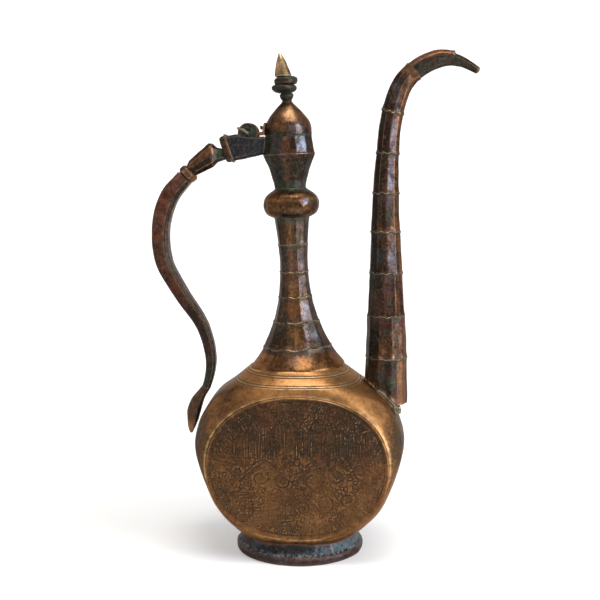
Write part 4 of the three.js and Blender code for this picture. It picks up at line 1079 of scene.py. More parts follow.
def neck():
    length = NECK_TOP - NECK_FOOT
    ridges = [NECK_FOOT + length * share for share in RIDGE_SHARES]
    heights = with_finer(np.linspace(NECK_FOOT - NECK_SKIRT, NECK_TOP + 0.2, 130), ridges, 1.6, 0.2)
    rise = heights - NECK_FOOT
    below = np.clip(1 - rise / NECK_WAIST_RISE, 0, 1)
    above = np.clip((rise - NECK_WAIST_RISE) / (length - NECK_WAIST_RISE), 0, None)
    flare = (NECK_FOOT_RADIUS + 0.3 - NECK_WAIST) * below ** 2.25
    radius = NECK_WAIST + np.where(rise < NECK_WAIST_RISE, flare, (NECK_TOP_RADIUS - NECK_WAIST) * above ** 2)
    columns = 260
    rows = turned(np.stack([radius, heights], 1), columns)
    angle = around(rows)
    scallop = 0.42 * np.cos(NECK_SIDES * angle) + 0.35 * ripple(rows, 9, 40)
    level = rows[..., 2] + scallop * smoothstep(NECK_TOP, NECK_TOP - 60, rows[..., 2])
    band = sum((level > ridge).astype(int) for ridge in ridges)
    rng = np.random.default_rng(41)
    turns = rng.uniform(-0.05, 0.05, len(ridges) + 1)
    sharps = (26, 45, 70, 80, 80, 60)
    shape = np.zeros(rows.shape[:2])
    for number, (turn, sharp) in enumerate(zip(turns, sharps)):
        share = polygon(angle, NECK_SIDES, turn, sharp)
        if number == 0:
            share = share + (1 - share) * smoothstep(NECK_FOOT + 11, NECK_FOOT + 1, rows[..., 2])
        shape = np.where(band == number, share, shape)
    ridge_rise = sum(0.5 * hump(level, ridge, 0.38) + 0.28 * hump(level, ridge - 0.9, 0.8)
                     for ridge in ridges)
    reach = np.hypot(rows[..., 0], rows[..., 1])
    uneven = dents_over(rows, (0.16, 9, 42), (0.08, 4, 43))
    rows = fatter(rows, reach * (shape - 1) + ridge_rise + uneven * smoothstep(0, 3, NECK_TOP - rows[..., 2]))
    made = build_piece("neck_facets", at_neck(shell(rows, SHEET)), wrap_rows=True)

    def ridge_wear(p):
        lift = 0.55 * np.cos(NECK_SIDES * p.turn) * smoothstep(NECK_TOP, NECK_TOP - 60, p.z)
        return 0.12 * sum(hump(p.z + lift, ridge, 0.7) for ridge in ridges)

    # Painted light at the front and low down, painted shade on the sides, and each facet a little lighter or
    # darker.
    def neck_tone(p):
        centre = hump(p.turn, -0.12, 0.42)
        low = smoothstep(NECK_FOOT + 14, NECK_FOOT + 8, p.z)
        side = smoothstep(0.4, 1.0, np.abs(p.turn - 0.15)) * smoothstep(3.1, 2.4, np.abs(p.turn))
        cell = np.floor((p.turn + math.pi) * NECK_SIDES / (2 * math.pi)) + 13 * np.searchsorted(ridges, p.z)
        uneven = (0.35 - 0.2 * low) * np.sin(2.4 * cell + 1)
        return -0.45 + (0.75 * centre - 0.7 * side) * (1 - low) + 0.65 * low + uneven

    def neck_sheen(p):
        """Painted bluish reflection of the lamp on the facet at the front right, strongest in two bands, with
        a violet patch by the lowest ridge.
        """
        facing = p.turn
        strip = between(facing, 0.3, 0.38, 0.9, 0.98)
        bands = hump(p.z, (ridges[0] + ridges[1]) / 2, 8) + hump(p.z, (ridges[1] + ridges[2]) / 2, 8)
        violet = hump(p.turn, 0.25, 0.5) * hump(p.z, ridges[0] - 1.5, 3.5)
        return strip * (0.65 * bands + 0.3 * smoothstep(ridges[2], ridges[2] + 8, p.z)) + 0.5 * violet

    # Painted shade and dirt under the bulb and under each ridge, and painted shade on the sides.
    def neck_grime(p):
        top = smoothstep(NECK_TOP - 7, NECK_TOP, p.z)
        under = sum(hump(p.z, ridge - 1.4, 1.0) for ridge in ridges)
        side = smoothstep(0.55, 1.1, np.abs(p.turn - 0.1)) * smoothstep(3.1, 2.4, np.abs(p.turn))
        return 0.9 * top + 0.4 * under + 0.3 * side * smoothstep(NECK_FOOT + 14, NECK_FOOT + 30, p.z)

    masks = {"wear": ridge_wear, "grime": neck_grime, "tone": neck_tone, "sheen": neck_sheen}
    finish_piece(made, "vessel", "neck_copper", "neck", masks=masks, wear=(0.1, 1.1))


def bulb():
    height = BULB_TOP - BULB_FOOT
    shares = [(0.855, 0.09), (0.955, 0.23), (1, 0.4), (0.99, 0.54), (0.93, 0.7), (0.81, 0.83)]
    outer = spline([(NECK_TOP_RADIUS, BULB_FOOT - 0.5)] + scaled(shares, BULB_RADIUS, BULB_FOOT, height)
                   + [(CUP_WAIST * 1.1, BULB_FOOT + height * 0.96), (CUP_WAIST, BULB_TOP + 0.3)], 110)
    corner = polygon(0.262, BULB_SIDES, 0, 55)
    rows = turned(outer, 300, lambda angle: 0.55 + 0.45 * polygon(angle, BULB_SIDES, 0.42, 55) / corner)
    up = (rows[..., 2] - BULB_FOOT) / height
    middle = hump(up, 0.47, 0.3)
    flats = hammer_flats(rows, 46, 9.0)
    rows = fatter(rows, (dents_over(rows, (0.25, 8, 45), (0.08, 3, 46)) - flats) * middle)
    made = build_piece("bulb_facets", at_neck(shell(rows, SHEET)), wrap_rows=True)

    # Painted shade at the foot and top of the bulb and on its sides, painted highlights in two bands, and a
    # painted bluish reflection at the front right.
    def grime(p):
        share = share_up(p, BULB_FOOT, BULB_TOP)
        ends = smoothstep(0.1, -0.02, share) + 0.9 * smoothstep(0.84, 1.0, share)
        return ends + 0.4 * smoothstep(0.9, 1.3, np.abs(p.turn))

    def tone(p):
        share = share_up(p, BULB_FOOT, BULB_TOP)
        return -0.35 + 0.6 * hump(share, 0.62, 0.14) + 0.35 * hump(share, 0.3, 0.1)

    def sheen(p):
        return 0.9 * hump(p.turn, 0.62, 0.2) * hump(share_up(p, BULB_FOOT, BULB_TOP), 0.55, 0.13)

    masks = {"grime": grime, "tone": tone, "sheen": sheen}
    finish_piece(made, "vessel", "neck_copper", "neck_bulb", masks=masks, wear=(0.12, 0.6))


def hammer_flats(rows, seed, size):
    """Depth of broad hammered flats over a rounded surface, with soft ridges between them."""
    rng = np.random.default_rng(seed)
    flat = rows.reshape(-1, 3)
    spread = flat[:: max(1, len(flat) // 4000)]
    homes = []
    for point in rng.permutation(spread):
        if all(np.sum((point - home) ** 2) > (size * 0.8) ** 2 for home in homes):
            homes.append(point)
    tree = KDTree(len(homes))
    for number, home in enumerate(homes):
        tree.insert(home, number)
    tree.balance()
    near = np.array([tree.find(point)[2] for point in flat]).reshape(rows.shape[:-1])
    return 0.7 * np.clip(1 - (near / (size * 0.62)) ** 2, 0, 1)


def cup():
    height = CUP_TOP - CUP_FOOT
    shares = [(0.77, 0.34), (0.89, 0.49), (0.98, 0.59), (1, 0.65), (0.96, 0.79)]
    outer = spline([(CUP_WAIST, CUP_FOOT - 0.5), (CUP_WAIST * 1.06, CUP_FOOT + height * 0.11),
                    (CUP_WAIST * 1.14, CUP_FOOT + height * 0.19)]
                   + scaled(shares, CUP_RADIUS, CUP_FOOT, height)
                   + [(CUP_MOUTH, CUP_FOOT + height * 0.93), (CUP_MOUTH, CUP_TOP)], 140)
    rows = turned(outer, 288, lambda angle: polygon(angle, CUP_SIDES, 0.06, 90))
    up = (rows[..., 2] - CUP_FOOT) / height
    keel = 0.35 * hump(up, KEEL_SHARE, 0.018)
    uneven = dents_over(rows, (0.2, 9, 51), (0.08, 3.5, 52)) * smoothstep(0, 0.1, 1 - up)
    rows = fatter(rows, keel + uneven)
    made = build_piece("cup_facets", at_neck(shell(rows, SHEET)), wrap_rows=True)

    # Dirt and painted shade low down and on both sides, and a dark painted seam under the lid.
    def cup_grime(p):
        share = share_up(p, CUP_FOOT, CUP_TOP)
        back = smoothstep(0.2, -0.9, np.sin(p.turn))
        left = between(p.turn, -3, -2.2, -0.9, -0.45)
        right = between(p.turn, 0.8, 1.2, 2.2, 3) * smoothstep(0.7, 0.4, share)
        seam = smoothstep(CUP_TOP - 1.3, CUP_TOP - 0.5, p.z)
        return smoothstep(0.22, 0.02, share) + 0.25 * back + 2 * seam + 0.4 * left + 0.5 * right

    # Painted bluish reflection on the facet at the front right and a weaker one at the front left, above the
    # keel.
    def cup_sheen(p):
        share = share_up(p, CUP_FOOT, CUP_TOP)
        strip = between(p.turn, 0.33, 0.4, 0.78, 0.86)
        return (0.8 * strip + 0.35 * hump(p.turn, -0.5, 0.2)) * smoothstep(0.62, 0.7, share)

    # Painted light at the front and painted shade on the left.
    def cup_tone(p):
        centre = hump(p.turn, -0.08, 0.35)
        return -0.6 + 0.75 * centre - 0.5 * smoothstep(0, -0.8, np.sin(p.turn))

    # A worn line on the keel; the rim is kept unworn so that the painted seam stays dark.
    def cup_wear(p):
        rim = smoothstep(CUP_TOP - 1.3, CUP_TOP - 0.7, p.z)
        return 0.35 * hump(p.z, CUP_FOOT + KEEL_SHARE * height, 0.6) - 2 * rim

    masks = {"grime": cup_grime, "tone": cup_tone, "sheen": cup_sheen, "wear": cup_wear}
    finish_piece(made, "vessel", "dark_copper", "mouth_cup", masks=masks, wear=(0.25, 0.9))


# Lid and finial

STEM_HOLE = 1.8
LOWER_RADIUS, UPPER_RADIUS, CONE_RADIUS = 9.3, 8.7, 6.2
CONE_SHIFT, CONE_LEAN = -1.9, -2

def lid():
    rise = LID_TOP - LID_FOOT
    shares = [(1, 0), (1, 0.13), (0.98, 0.25), (0.925, 0.37), (0.84, 0.48), (0.72, 0.6), (0.58, 0.72),
              (0.42, 0.84), (0.27, 0.94)]
    dome = scaled(shares, LID_RADIUS, LID_FOOT, rise)
    outer = np.concatenate([spline(dome + [(2 * STEM_HOLE, LID_TOP)], 110), [(STEM_HOLE, LID_TOP)]])
    inner = offset(outer[:-1], SHEET)[::-1][::4]
    inner = inner[inner[:, 0] > STEM_HOLE + 0.6]
    inner = np.concatenate([[(STEM_HOLE, LID_TOP - SHEET)], inner, [(LID_RADIUS - SHEET, LID_FOOT)]])
    rows = turned(np.concatenate([outer, inner]), 280)
    flats = 0.6 * hammer_flats(rows, 61, 10.0)
    free = between((rows[..., 2] - LID_FOOT) / rise, 0, 0.12, 0.9, 1)
    uneven = dents_over(rows, (0.14, 10, 62), (0.05, 4, 63)) - flats * 0.55
    rows = fatter(rows, uneven * free)
    made = build_piece("lid_shell", at_neck(rows), wrap_rows=True)

    # Painted light on the dome, with painted shade low down and on the left.
    def lid_tone(p):
        share = share_up(p, LID_FOOT, LID_TOP)
        left = between(p.turn, -3, -2.2, -1.1, -0.5)
        return 0.1 * hump(share, 0.6, 0.2) - 0.6 * smoothstep(0.28, 0.0, share) - 0.9 * left - 0.2

    # Painted shade in the seam at the foot of the dome and under the finial.
    def grime(p):
        foot, top = smoothstep(LID_FOOT + 0.9, LID_FOOT + 0.3, p.z), smoothstep(LID_TOP - 2.2, LID_TOP, p.z)
        return 0.9 * foot + 0.6 * top

    # A painted highlight at the front of the dome; the foot is kept unworn so that the seam stays dark.
    def wear(p):
        front = hump(share_up(p, LID_FOOT, LID_TOP), 0.62, 0.2) * hump(p.turn, 0.1, 0.7)
        return 0.5 * front - 2 * smoothstep(LID_FOOT + 0.8, LID_FOOT + 0.3, p.z)

    # A painted bluish reflection low on the right.
    def sheen(p):
        return 0.7 * hump(p.turn, 0.5, 0.4) * hump(share_up(p, LID_FOOT, LID_TOP), 0.2, 0.16)

    masks = {"grime": grime, "tone": lid_tone, "wear": wear, "sheen": sheen}
    finish_piece(made, "lid", "neck_copper", "lid_dome", masks=masks, wear=(0.3, 1.0))


def bezel():
    low, high, _ = span("lid_bezel")
    upper, lower = LID_RADIUS - SHEET - 0.6, CUP_MOUTH - SHEET - 1.4
    profile = [(lower, low), (lower, LID_FOOT), (upper, LID_FOOT + 0.3), (upper, high), (upper - SHEET, high),
               (lower - SHEET, LID_FOOT), (lower - SHEET, low)]
    fine = np.concatenate([np.linspace(a, b, 7)[:-1] for a, b in zip(profile, profile[1:] + profile[:1])])
    rows = turned(fine, 160)
    rows = fatter(rows, 0.05 * ripple(rows, 7, 65))
    made = build_piece("bezel_ring", at_neck(rows), wrap_rows=True)
    finish_piece(made, "lid", "dark_copper", "lid_bezel")


def threaded(name, node, radius, foot, height, shift, shares, seed, tilt=0.0, tone=0.0):
    """A turned piece of the finial with a hole for the stem."""
    outline = spline(scaled(shares, radius, foot, height), 44)
    profile = np.concatenate([[(STEM_HOLE, foot)], outline, [(STEM_HOLE, foot + height)]])
    rows = turned(profile, 120)
    outside = np.ones(len(profile))
    outside[0] = outside[-1] = 0
    rows[..., 0] += shift * outside[:, None]
    rows[..., 2] += tilt * rows[..., 0] / radius * outside[:, None]
    uneven = dents_over(rows, (0.22, 4, seed), (0.08, 1.8, seed + 1)) * outside[:, None]
    rows = fatter(rows, uneven)
    made = build_piece(name, at_neck(rows), wrap_rows=True)

    def grime(p):
        share = (p.z - foot) / height
        return 0.7 * smoothstep(0.25, 0, share) + 0.9 * smoothstep(0.6, 0.8, share) + 0.3

    masks = {"grime": grime, "tone": lambda p: tone + 0.7 * hump((p.z - foot) / height, 0.3, 0.14)}
    finish_piece(made, "lid", "dark_copper", node, masks=masks, wear=(0.15, 1.6))


def finial():
    bead_radius = span("finial_bead")[2]
    lower_low, upper_low = (span(f"finial_{name}_collar")[0] for name in ("lower", "upper"))
    cone_low, cone_high, _ = span("finial_cone")
    threaded("bead", "finial_bead", bead_radius, LID_TOP - 0.1, lower_low - LID_TOP + 0.1, 0,
             [(0.62, 0), (0.7, 0.12), (0.9, 0.42), (1, 0.66), (0.93, 0.86), (0.7, 1)], 71, tone=-1.3)
    threaded("lower_collar", "finial_lower_collar", LOWER_RADIUS, lower_low, upper_low - lower_low, -1.7,
             [(0.5, 0), (0.72, 0.12), (0.92, 0.34), (1, 0.6), (0.96, 0.84), (0.8, 1)], 73, -0.25, tone=-1.5)
    threaded("upper_collar", "finial_upper_collar", UPPER_RADIUS, upper_low, cone_low - upper_low, -0.3,
             [(0.8, 0), (0.93, 0.12), (1, 0.4), (0.98, 0.66), (0.88, 0.86), (0.7, 1)], 75, 0.35, tone=-0.9)
    height = cone_high - cone_low
    shares = [(0.86, 0), (1, 0.04), (0.97, 0.1), (0.78, 0.35), (0.56, 0.62), (0.32, 0.84), (0.15, 0.96),
              (0.06, 1)]
    outline = spline(scaled(shares, CONE_RADIUS, cone_low, height), 70)
    profile = np.concatenate([[(STEM_HOLE, cone_low + 5), (STEM_HOLE, cone_low)], outline])
    rows = turned(profile, 120)
    up = np.clip((rows[..., 2] - cone_low) / height, 0, 1)
    outside = np.ones((len(profile), 1))
    outside[:2] = 0
    middle = CONE_SHIFT + CONE_LEAN * up
    rows[..., 0] += middle * outside
    swell = dents_over(rows, (0.14, 4, 77), (0.05, 2, 78)) * outside * smoothstep(1, 0.9, up)
    rows = fatter_about(rows, middle, swell)
    made = build_piece("brass_point", at_neck(rows))

    # Painted shade on both sides of the cone, which gets lighter towards its point.
    def tone(p):
        beside = smoothstep(0.8, 1.3, np.abs(np.arctan2(p.x + 3, -p.y)))
        return 0.4 * smoothstep(cone_low, cone_high, p.z) + 0.2 - 1.1 * beside

    masks = {"grime": lambda p: 0.8 * smoothstep(cone_low + 2.5, cone_low, p.z), "tone": tone}
    finish_piece(made, "lid", "finial_brass", "finial_cone", wear=(0.12, 0.6), masks=masks)


def fatter_about(points, x, amount):
    moved = points.copy()
    moved[..., 0] -= x
    moved = fatter(moved, amount)
    moved[..., 0] += x
    return moved


# Spout

SPOUT_FOOT = NECK_SEAT - 47
SPOUT_BEND_FOOT = NECK_SEAT + 227 - 45
SPOUT_BEND_RISE, SPOUT_BEND_REACH, SPOUT_BOW = 45.0, 65.9, 1.1
SPOUT_ROOT_RADIUS, SPOUT_BEND_RADIUS, SPOUT_TIP_RADIUS = 17.1, 8.3, 2.8
SPOUT_SIDES, SPOUT_SHARP = 10, 90
SPOUT_TURNS = (0.25, 0.28, -0.08, 0.06, 0.03, 0.07, 0.1, 0.05)
STEM_SHARES = [(0, 0, 1), (0.26, 0.3, 0.81), (0.51, -0.4, 0.485), (0.769, -1, 0.2), (0.896, -0.1, 0.045),
               (1, 1.9, 0)]
BEND_SHARES = [(0.094, 0.367, 0.98), (0.168, 0.615, 0.95), (0.281, 0.792, 0.88), (0.407, 0.912, 0.8),
               (0.541, 0.984, 0.7), (0.671, 0.994, 0.47), (0.801, 0.953, 0.25), (0.908, 0.875, 0.1),
               (1, 0.792, 0)]
SPOUT_RIDGES = (0.229, 0.369, 0.508, 0.644, 0.769, 0.896, 1.028)


def stem_height(share):
    return SPOUT_FOOT + (SPOUT_BEND_FOOT - SPOUT_FOOT) * share


def spout_line():
    """Rows of x, z and radius along the spout, close together, with the length run at each."""
    stem = [(SPOUT_X + bow * SPOUT_BOW, stem_height(up),
             SPOUT_BEND_RADIUS + (SPOUT_ROOT_RADIUS - SPOUT_BEND_RADIUS) * taper)
            for up, bow, taper in STEM_SHARES]
    bend = [(SPOUT_X + SPOUT_BEND_REACH * out, SPOUT_BEND_FOOT + SPOUT_BEND_RISE * up,
             SPOUT_TIP_RADIUS + (SPOUT_BEND_RADIUS - SPOUT_TIP_RADIUS) * taper)
            for out, up, taper in BEND_SHARES]
    line, radius, run = station_line(stem + bend, 3000)
    return np.column_stack([line, radius]), run


SPOUT_LINE, SPOUT_RUN = spout_line()


def spout_run(height):
    """Length run where the spout first reaches a height."""
    return SPOUT_RUN[np.argmax(SPOUT_LINE[:, 1] >= height)]


def spout_at(run):
    along = np.gradient(SPOUT_LINE[:, :2], axis=0)
    angle = np.unwrap(np.arctan2(along[:, 1], along[:, 0]))
    return [np.interp(run, SPOUT_RUN, values) for values in (*SPOUT_LINE.T, angle)]


def spout_rows(runs, columns, grow=0.0, reach=None):
    """Rows of points round the spout's line, where reach gives the radius at each column and row."""
    x, z, radius, angle = (value[:, None] for value in spout_at(np.asarray(runs)))
    a = round_angles(columns)[None, :]
    round_radius = radius + grow if reach is None else reach(a, z, radius)
    across, deep = np.cos(a) * round_radius, np.sin(a) * round_radius
    return np.stack([x - np.sin(angle) * across, -deep, z + np.cos(angle) * across], -1)


BEND_START = int(np.argmax(SPOUT_LINE[:, 1] >= SPOUT_BEND_FOOT))


def spout_turn(height):
    """Turn of the facets about the spout's line, which changes at each ridge."""
    turn = np.full(np.shape(height), SPOUT_TURNS[0])
    for share, value in zip(SPOUT_RIDGES, SPOUT_TURNS[1:]):
        turn = np.where(height > stem_height(share), value, turn)
    return turn


def spout_facets(angle, z, radius):
    """Reach of the faceted tube at angles round its line."""
    return radius * polygon(angle - spout_turn(z), SPOUT_SIDES, 0.0, SPOUT_SHARP)


def spout_facing(p):
    """Angle of places on the stem about the spout's line, from the front."""
    middle = np.interp(p.z, SPOUT_LINE[:BEND_START, 1], SPOUT_LINE[:BEND_START, 0])
    return np.arctan2(p.x - middle, -p.y)


SPOUT_SEAM = spout_run(NECK_SEAT + 227 - 9)
COLLAR_HEIGHT = 4.6
SPOUT_WALL = 1.2
SPOUT_STAINS = ((65.6, 169.3, 2.6, 0.9), (69.5, 132.5, 3.4, 0.9), (72.0, 139.0, 1.3, 1.0),
                (60, 136, 3.5, 0.6), (67, 252, 3, 0.5))


def spout_tube():
    ridges = [spout_run(stem_height(share)) for share in SPOUT_RIDGES]
    runs = with_finer(np.linspace(0, SPOUT_SEAM - 0.05, 190), ridges, 1.8, 0.25, SPOUT_SEAM)
    columns = 176
    plain = spout_rows(runs, columns)
    a = round_angles(columns)[None, :]
    level = runs[:, None] - 0.5 * np.cos(SPOUT_SIDES * a) + 0.5 * ripple(plain, 8, 80)
    rise = sum(0.62 * hump(level, ridge, 0.42) + 0.3 * hump(level, ridge + 1.1, 1.0) for ridge in ridges)
    rise = rise + 0.7 * smoothstep(SPOUT_SEAM - 2.2, SPOUT_SEAM - 0.8, runs[:, None])
    uneven = dents_over(plain, (0.17, 10, 81), (0.08, 4, 82))
    rows = spout_rows(runs, columns, reach=lambda a, z, radius: spout_facets(a, z, radius) + rise + uneven)
    made = build_piece("spout_stem", at_foot(rows))
    bore_runs = np.linspace(0, SPOUT_SEAM + 3, 60)
    bore = build_piece("bore", at_foot(spout_rows(bore_runs, 40, -SPOUT_WALL - 0.3)))
    carve(made, body_form("shoulder", COLLAR_HEIGHT + 0.1, rows=90, columns=240), bore,
          block("low", (-200, -100, -10), (200, 100, NECK_SEAT - 29)))

    def run_of(p):
        return SPOUT_RUN[np.searchsorted(SPOUT_LINE[:, 1], np.minimum(p.z, SPOUT_BEND_FOOT))]

    def wear(p):
        return 0.12 * sum(hump(run_of(p), ridge, 0.55) for ridge in ridges)

    # Painted shade under each ridge and on the left, dirt at the root, and stains at the front.
    def grime(p):
        root = smoothstep(NECK_SEAT - 4, NECK_SEAT - 12, p.z + 0.8 * (p.x - SPOUT_X))
        under = sum(hump(run_of(p), ridge - 1.8, 1.2) for ridge in ridges)
        front = smoothstep(0, -4, p.y)
        stains = sum(amount * hump(p.x, x, size) * hump(p.z, z, size) for x, z, size, amount in SPOUT_STAINS)
        facing = spout_facing(p)
        left = between(facing, -3, -2.3, -0.9, -0.35)
        return 0.1 * root + 0.4 * under + front * stains + 0.35 * left

    def sheen(p):
        """Painted bluish reflection of the lamp on one facet, at the front right."""
        facing = spout_facing(p) - spout_turn(p.z)
        strip = between(facing, 0.0, 0.06, 0.56, 0.63)
        level = p.z - NECK_SEAT
        bands = 0.75 * hump(level, 140, 14) + 0.4 * hump(level, 82, 16) + 0.45 * hump(level, 172, 12)
        return (bands + 0.3 * hump(level, 205, 20)) * strip

    # Painted light on the right and painted shade on the left, lighter at the root, and each facet a little
    # lighter or darker.
    def tone(p):
        facing = spout_facing(p)
        right = between(facing, 0.45, 0.8, 1.1, 1.5)
        left = between(facing, -3, -2.3, -0.7, -0.2)
        cell = np.floor((facing - spout_turn(p.z)) * SPOUT_SIDES / (2 * math.pi) + 0.5) \
            + 7 * np.round(40 * spout_turn(p.z))
        root = smoothstep(NECK_SEAT + 20, NECK_SEAT - 10, p.z)
        return -0.3 + 0.4 * right + 0.3 * root - 0.45 * left + 0.3 * np.sin(2.4 * cell + 0.5)

    masks = {"wear": wear, "grime": grime, "tone": tone, "sheen": sheen}
    finish_piece(made, "vessel", "dark_copper", "spout_tube", upright=False, masks=masks, wear=(0.09, 0.5))


LIP_SHARE = 0.60
NOSE_LENGTH, NOSE_ROUND = 1.6, 1.75
MOUTH_RADIUS = 1.5


def spout_beak():
    start, end = SPOUT_SEAM, SPOUT_RUN[-1]
    lip = start + (end - start) * LIP_SHARE
    nose = end - NOSE_LENGTH
    runs = np.unique(np.concatenate([np.linspace(start, nose, 110), np.linspace(lip - 2.5, lip + 2.5, 22),
                                     nose + NOSE_LENGTH * np.sin(np.linspace(0, math.pi / 2, 8))]))
    columns = 144
    a = round_angles(columns)[None, :]
    plain = spout_rows(runs, columns)
    top = smoothstep(0.3, 0.6, np.cos(a))
    before = smoothstep(lip + 0.35, lip - 0.35, runs[:, None])
    flange = 0.9 * top * before * smoothstep(start, lip - 4, runs[:, None]) - 0.3 * top * (1 - before)
    flange = flange + 0.6 * top * hump(runs[:, None], lip - 1.0, 1.0)
    past = np.maximum(runs[:, None] - nose, 0) / NOSE_ROUND
    closing = np.sqrt(np.clip(1 - past ** 2, 0.05, 1))
    uneven = dents_over(plain, (0.12, 6, 85), (0.06, 3, 86))

    def reach(a, z, radius):
        facets = spout_facets(a, z, radius)
        rounder = smoothstep(0.35, 0.75, (runs[:, None] - start) / (end - start))
        return (facets + (radius * 0.98 - facets) * rounder + flange + uneven) * closing

    rows = spout_rows(runs, columns, reach=reach)
    made = build_piece("spout_tip", at_foot(rows))
    bore_runs = np.linspace(start - 2, end - 0.2, 40)
    bore = build_piece("bore", at_foot(spout_rows(bore_runs, 36, -SPOUT_WALL - 0.35)))
    x, z, _, angle = spout_at(end - 3)
    across, deep = MOUTH_RADIUS * np.cos(a[0]), MOUTH_RADIUS * np.sin(a[0])
    mouth_rows = np.stack([np.stack([x + math.cos(angle) * step - math.sin(angle) * across, -deep,
                                     z + math.sin(angle) * step + math.cos(angle) * across], -1)
                           for step in (0.0, 8.0)])
    mouth = build_piece("mouth", at_foot(mouth_rows))
    carve(made, bore, mouth)

    lip_x = float(np.interp(lip, SPOUT_RUN, SPOUT_LINE[:, 0]))

    def over(p):
        """How far a point stands over the beak's line, -1 to 1."""
        _, z, radius = nearest(p, SPOUT_LINE[::20]).T
        return (p.z - z) / radius

    # A painted highlight on the top before the lip, darker elsewhere, and lighter at the tip.
    def tone(p):
        top = smoothstep(0.35, 0.6, over(p)) * smoothstep(lip_x + 1, lip_x - 2, p.x)
        return 0.6 * top - 0.55 * (1 - top) + 0.35 * smoothstep(lip_x + 14, lip_x + 20, p.x)

    # Painted shade on the underside, and dark patches at the lip and by the seam.
    def film_and_shade(p):
        side = smoothstep(0.45, 0.2, over(p)) * 0.35
        return side + 0.6 * hump(p.x, lip_x + 1.5, 2.5) + 0.5 * hump(p.x, SPOUT_X + 6.5, 3)

    # A painted violet reflection on the lower side by the seam.
    def sheen(p):
        return 0.5 * hump(p.x, SPOUT_X + 10, 3.5) * (over(p) < 0.3)

    # A painted highlight along the top of the beak.
    def wear(p):
        return 0.45 * hump(over(p), 0.45, 0.1) * smoothstep(lip_x, lip_x - 12, p.x)

    masks = {"tone": tone, "grime": film_and_shade, "sheen": sheen, "wear": wear}
    finish_piece(made, "vessel", "dark_copper", "spout_beak", upright=False, masks=masks, wear=(0.14, 0.7))


def collar():
    made = worn_copy("spout_collar", "root_collar", 0.5, 3)
    masks = {"grime": 0.35}
    finish_piece(made, "vessel", "solder_patina", "spout_collar", upright=False, masks=masks,
                 dents=((0.35, 3.0, 90), (0.15, 1.4, 91)), wear=(0.1, 0.5))


# Handle, in the upright frame

BAR_SHARP = 46
BAR_CHAMFER = 0.34

def section_rows(stations, chamfer, columns, uneven=0.0):
    """Rows round a line of x, z, angle, half-height and half-depth, with cut corners."""
    x, z, angle, high, deep = (np.asarray(stations)[:, i][:, None] for i in range(5))
    cut = np.minimum(high, deep) * chamfer
    beta = round_angles(columns)[None, :]
    corner = (high + deep - cut) / math.sqrt(2)
    total = 0
    for number in range(8):
        distance = (high, corner, deep, corner)[number % 4]
        total = total + (np.maximum(np.cos(beta - number * math.pi / 4), 0) / distance) ** BAR_SHARP
    reach = total ** (-1 / BAR_SHARP) + uneven
    up, side = np.cos(beta) * reach, np.sin(beta) * reach
    return np.stack([x - np.sin(angle) * up, side, z + np.cos(angle) * up], -1)


def uneven_bar(stations, chamfer, columns, *dents):
    plain = section_rows(stations, chamfer, columns)
    return section_rows(stations, chamfer, columns, dents_over(plain, *dents))


def bar_line(stations, count):
    """Even stations along a smooth line from rows of x, z, half-height and half-depth."""
    line, sizes, run = station_line(stations, 1200)
    along = np.gradient(line, axis=0)
    angle = np.unwrap(np.arctan2(-along[:, 1], -along[:, 0]))
    at = np.linspace(0, run[-1], count)
    return np.stack([np.interp(at, run, values) for values in (*line.T, angle, *sizes.T)], 1)


GRIP_TOP_X, GRIP_TOP_Z = -78.9, 287.2
GRIP_HALF_HEIGHT, GRIP_HALF_DEPTH, GRIP_BOW = 6.7, 7.0, 28.2
GRIP_FOOT_X, GRIP_FOOT_Z = 7.2 - BELLY_RADIUS, BODY_BOTTOM + BODY_HEIGHT * 0.88
GRIP_SHARES = [(0.909, 0.735, 1, 1), (0.769, 1, 0.955, 1), (0.607, 0.965, 0.91, 0.97),
               (0.45, 0.533, 0.79, 0.9), (0.293, 0.017, 0.67, 0.82), (0.137, -0.164, 0.57, 0.72),
               (0.04, -0.08, 0.48, 0.64), (0, 0, 0.45, 0.62)]
TERMINAL_REACH, TERMINAL_HALF_HEIGHT = 6.7, 4.9
TERMINAL_SHARES = [(-0.39, 0.834, 0.735, 0.66), (0.19, 0.787, 0.96, 0.8), (0.52, 0.74, 1, 0.84),
                   (0.69, 0.692, 0.837, 0.7), (0.88, 0.644, 0.53, 0.46), (1, 0.608, 0.18, 0.18)]
GRIP_LINE = bar_line([(GRIP_TOP_X, GRIP_TOP_Z, GRIP_HALF_HEIGHT * 0.91, GRIP_HALF_DEPTH)]
                     + [(GRIP_FOOT_X - GRIP_BOW * bow, GRIP_FOOT_Z + (GRIP_TOP_Z - GRIP_FOOT_Z) * up,
                         GRIP_HALF_HEIGHT * high, GRIP_HALF_DEPTH * deep)
                        for up, bow, high, deep in GRIP_SHARES], 230)
GRIP_WALL, GRIP_LIP, STRIP_THICKNESS = 1.4, 2.4, 1.6


def inner_rows(line, margin, below, above):
    """Rows of a four-sided bar along the grip's inner side."""
    x, z, angle, high, deep = (line[:, i] for i in range(5))
    side, low, top = deep - margin, -high - below, -high + above(high)
    corners = [(low, -side), (low, side), (top, side), (top, -side)]
    return np.stack([np.stack([x - np.sin(angle) * h, y, z + np.cos(angle) * h], -1) for h, y in corners], 1)


def extended(line, distance):
    first, last = line[:1].copy(), line[-1:].copy()
    first[0, :2] += distance * np.array([math.cos(first[0, 2]), math.sin(first[0, 2])])
    last[0, :2] -= distance * np.array([math.cos(last[0, 2]), math.sin(last[0, 2])])
    return np.concatenate([first, line, last])


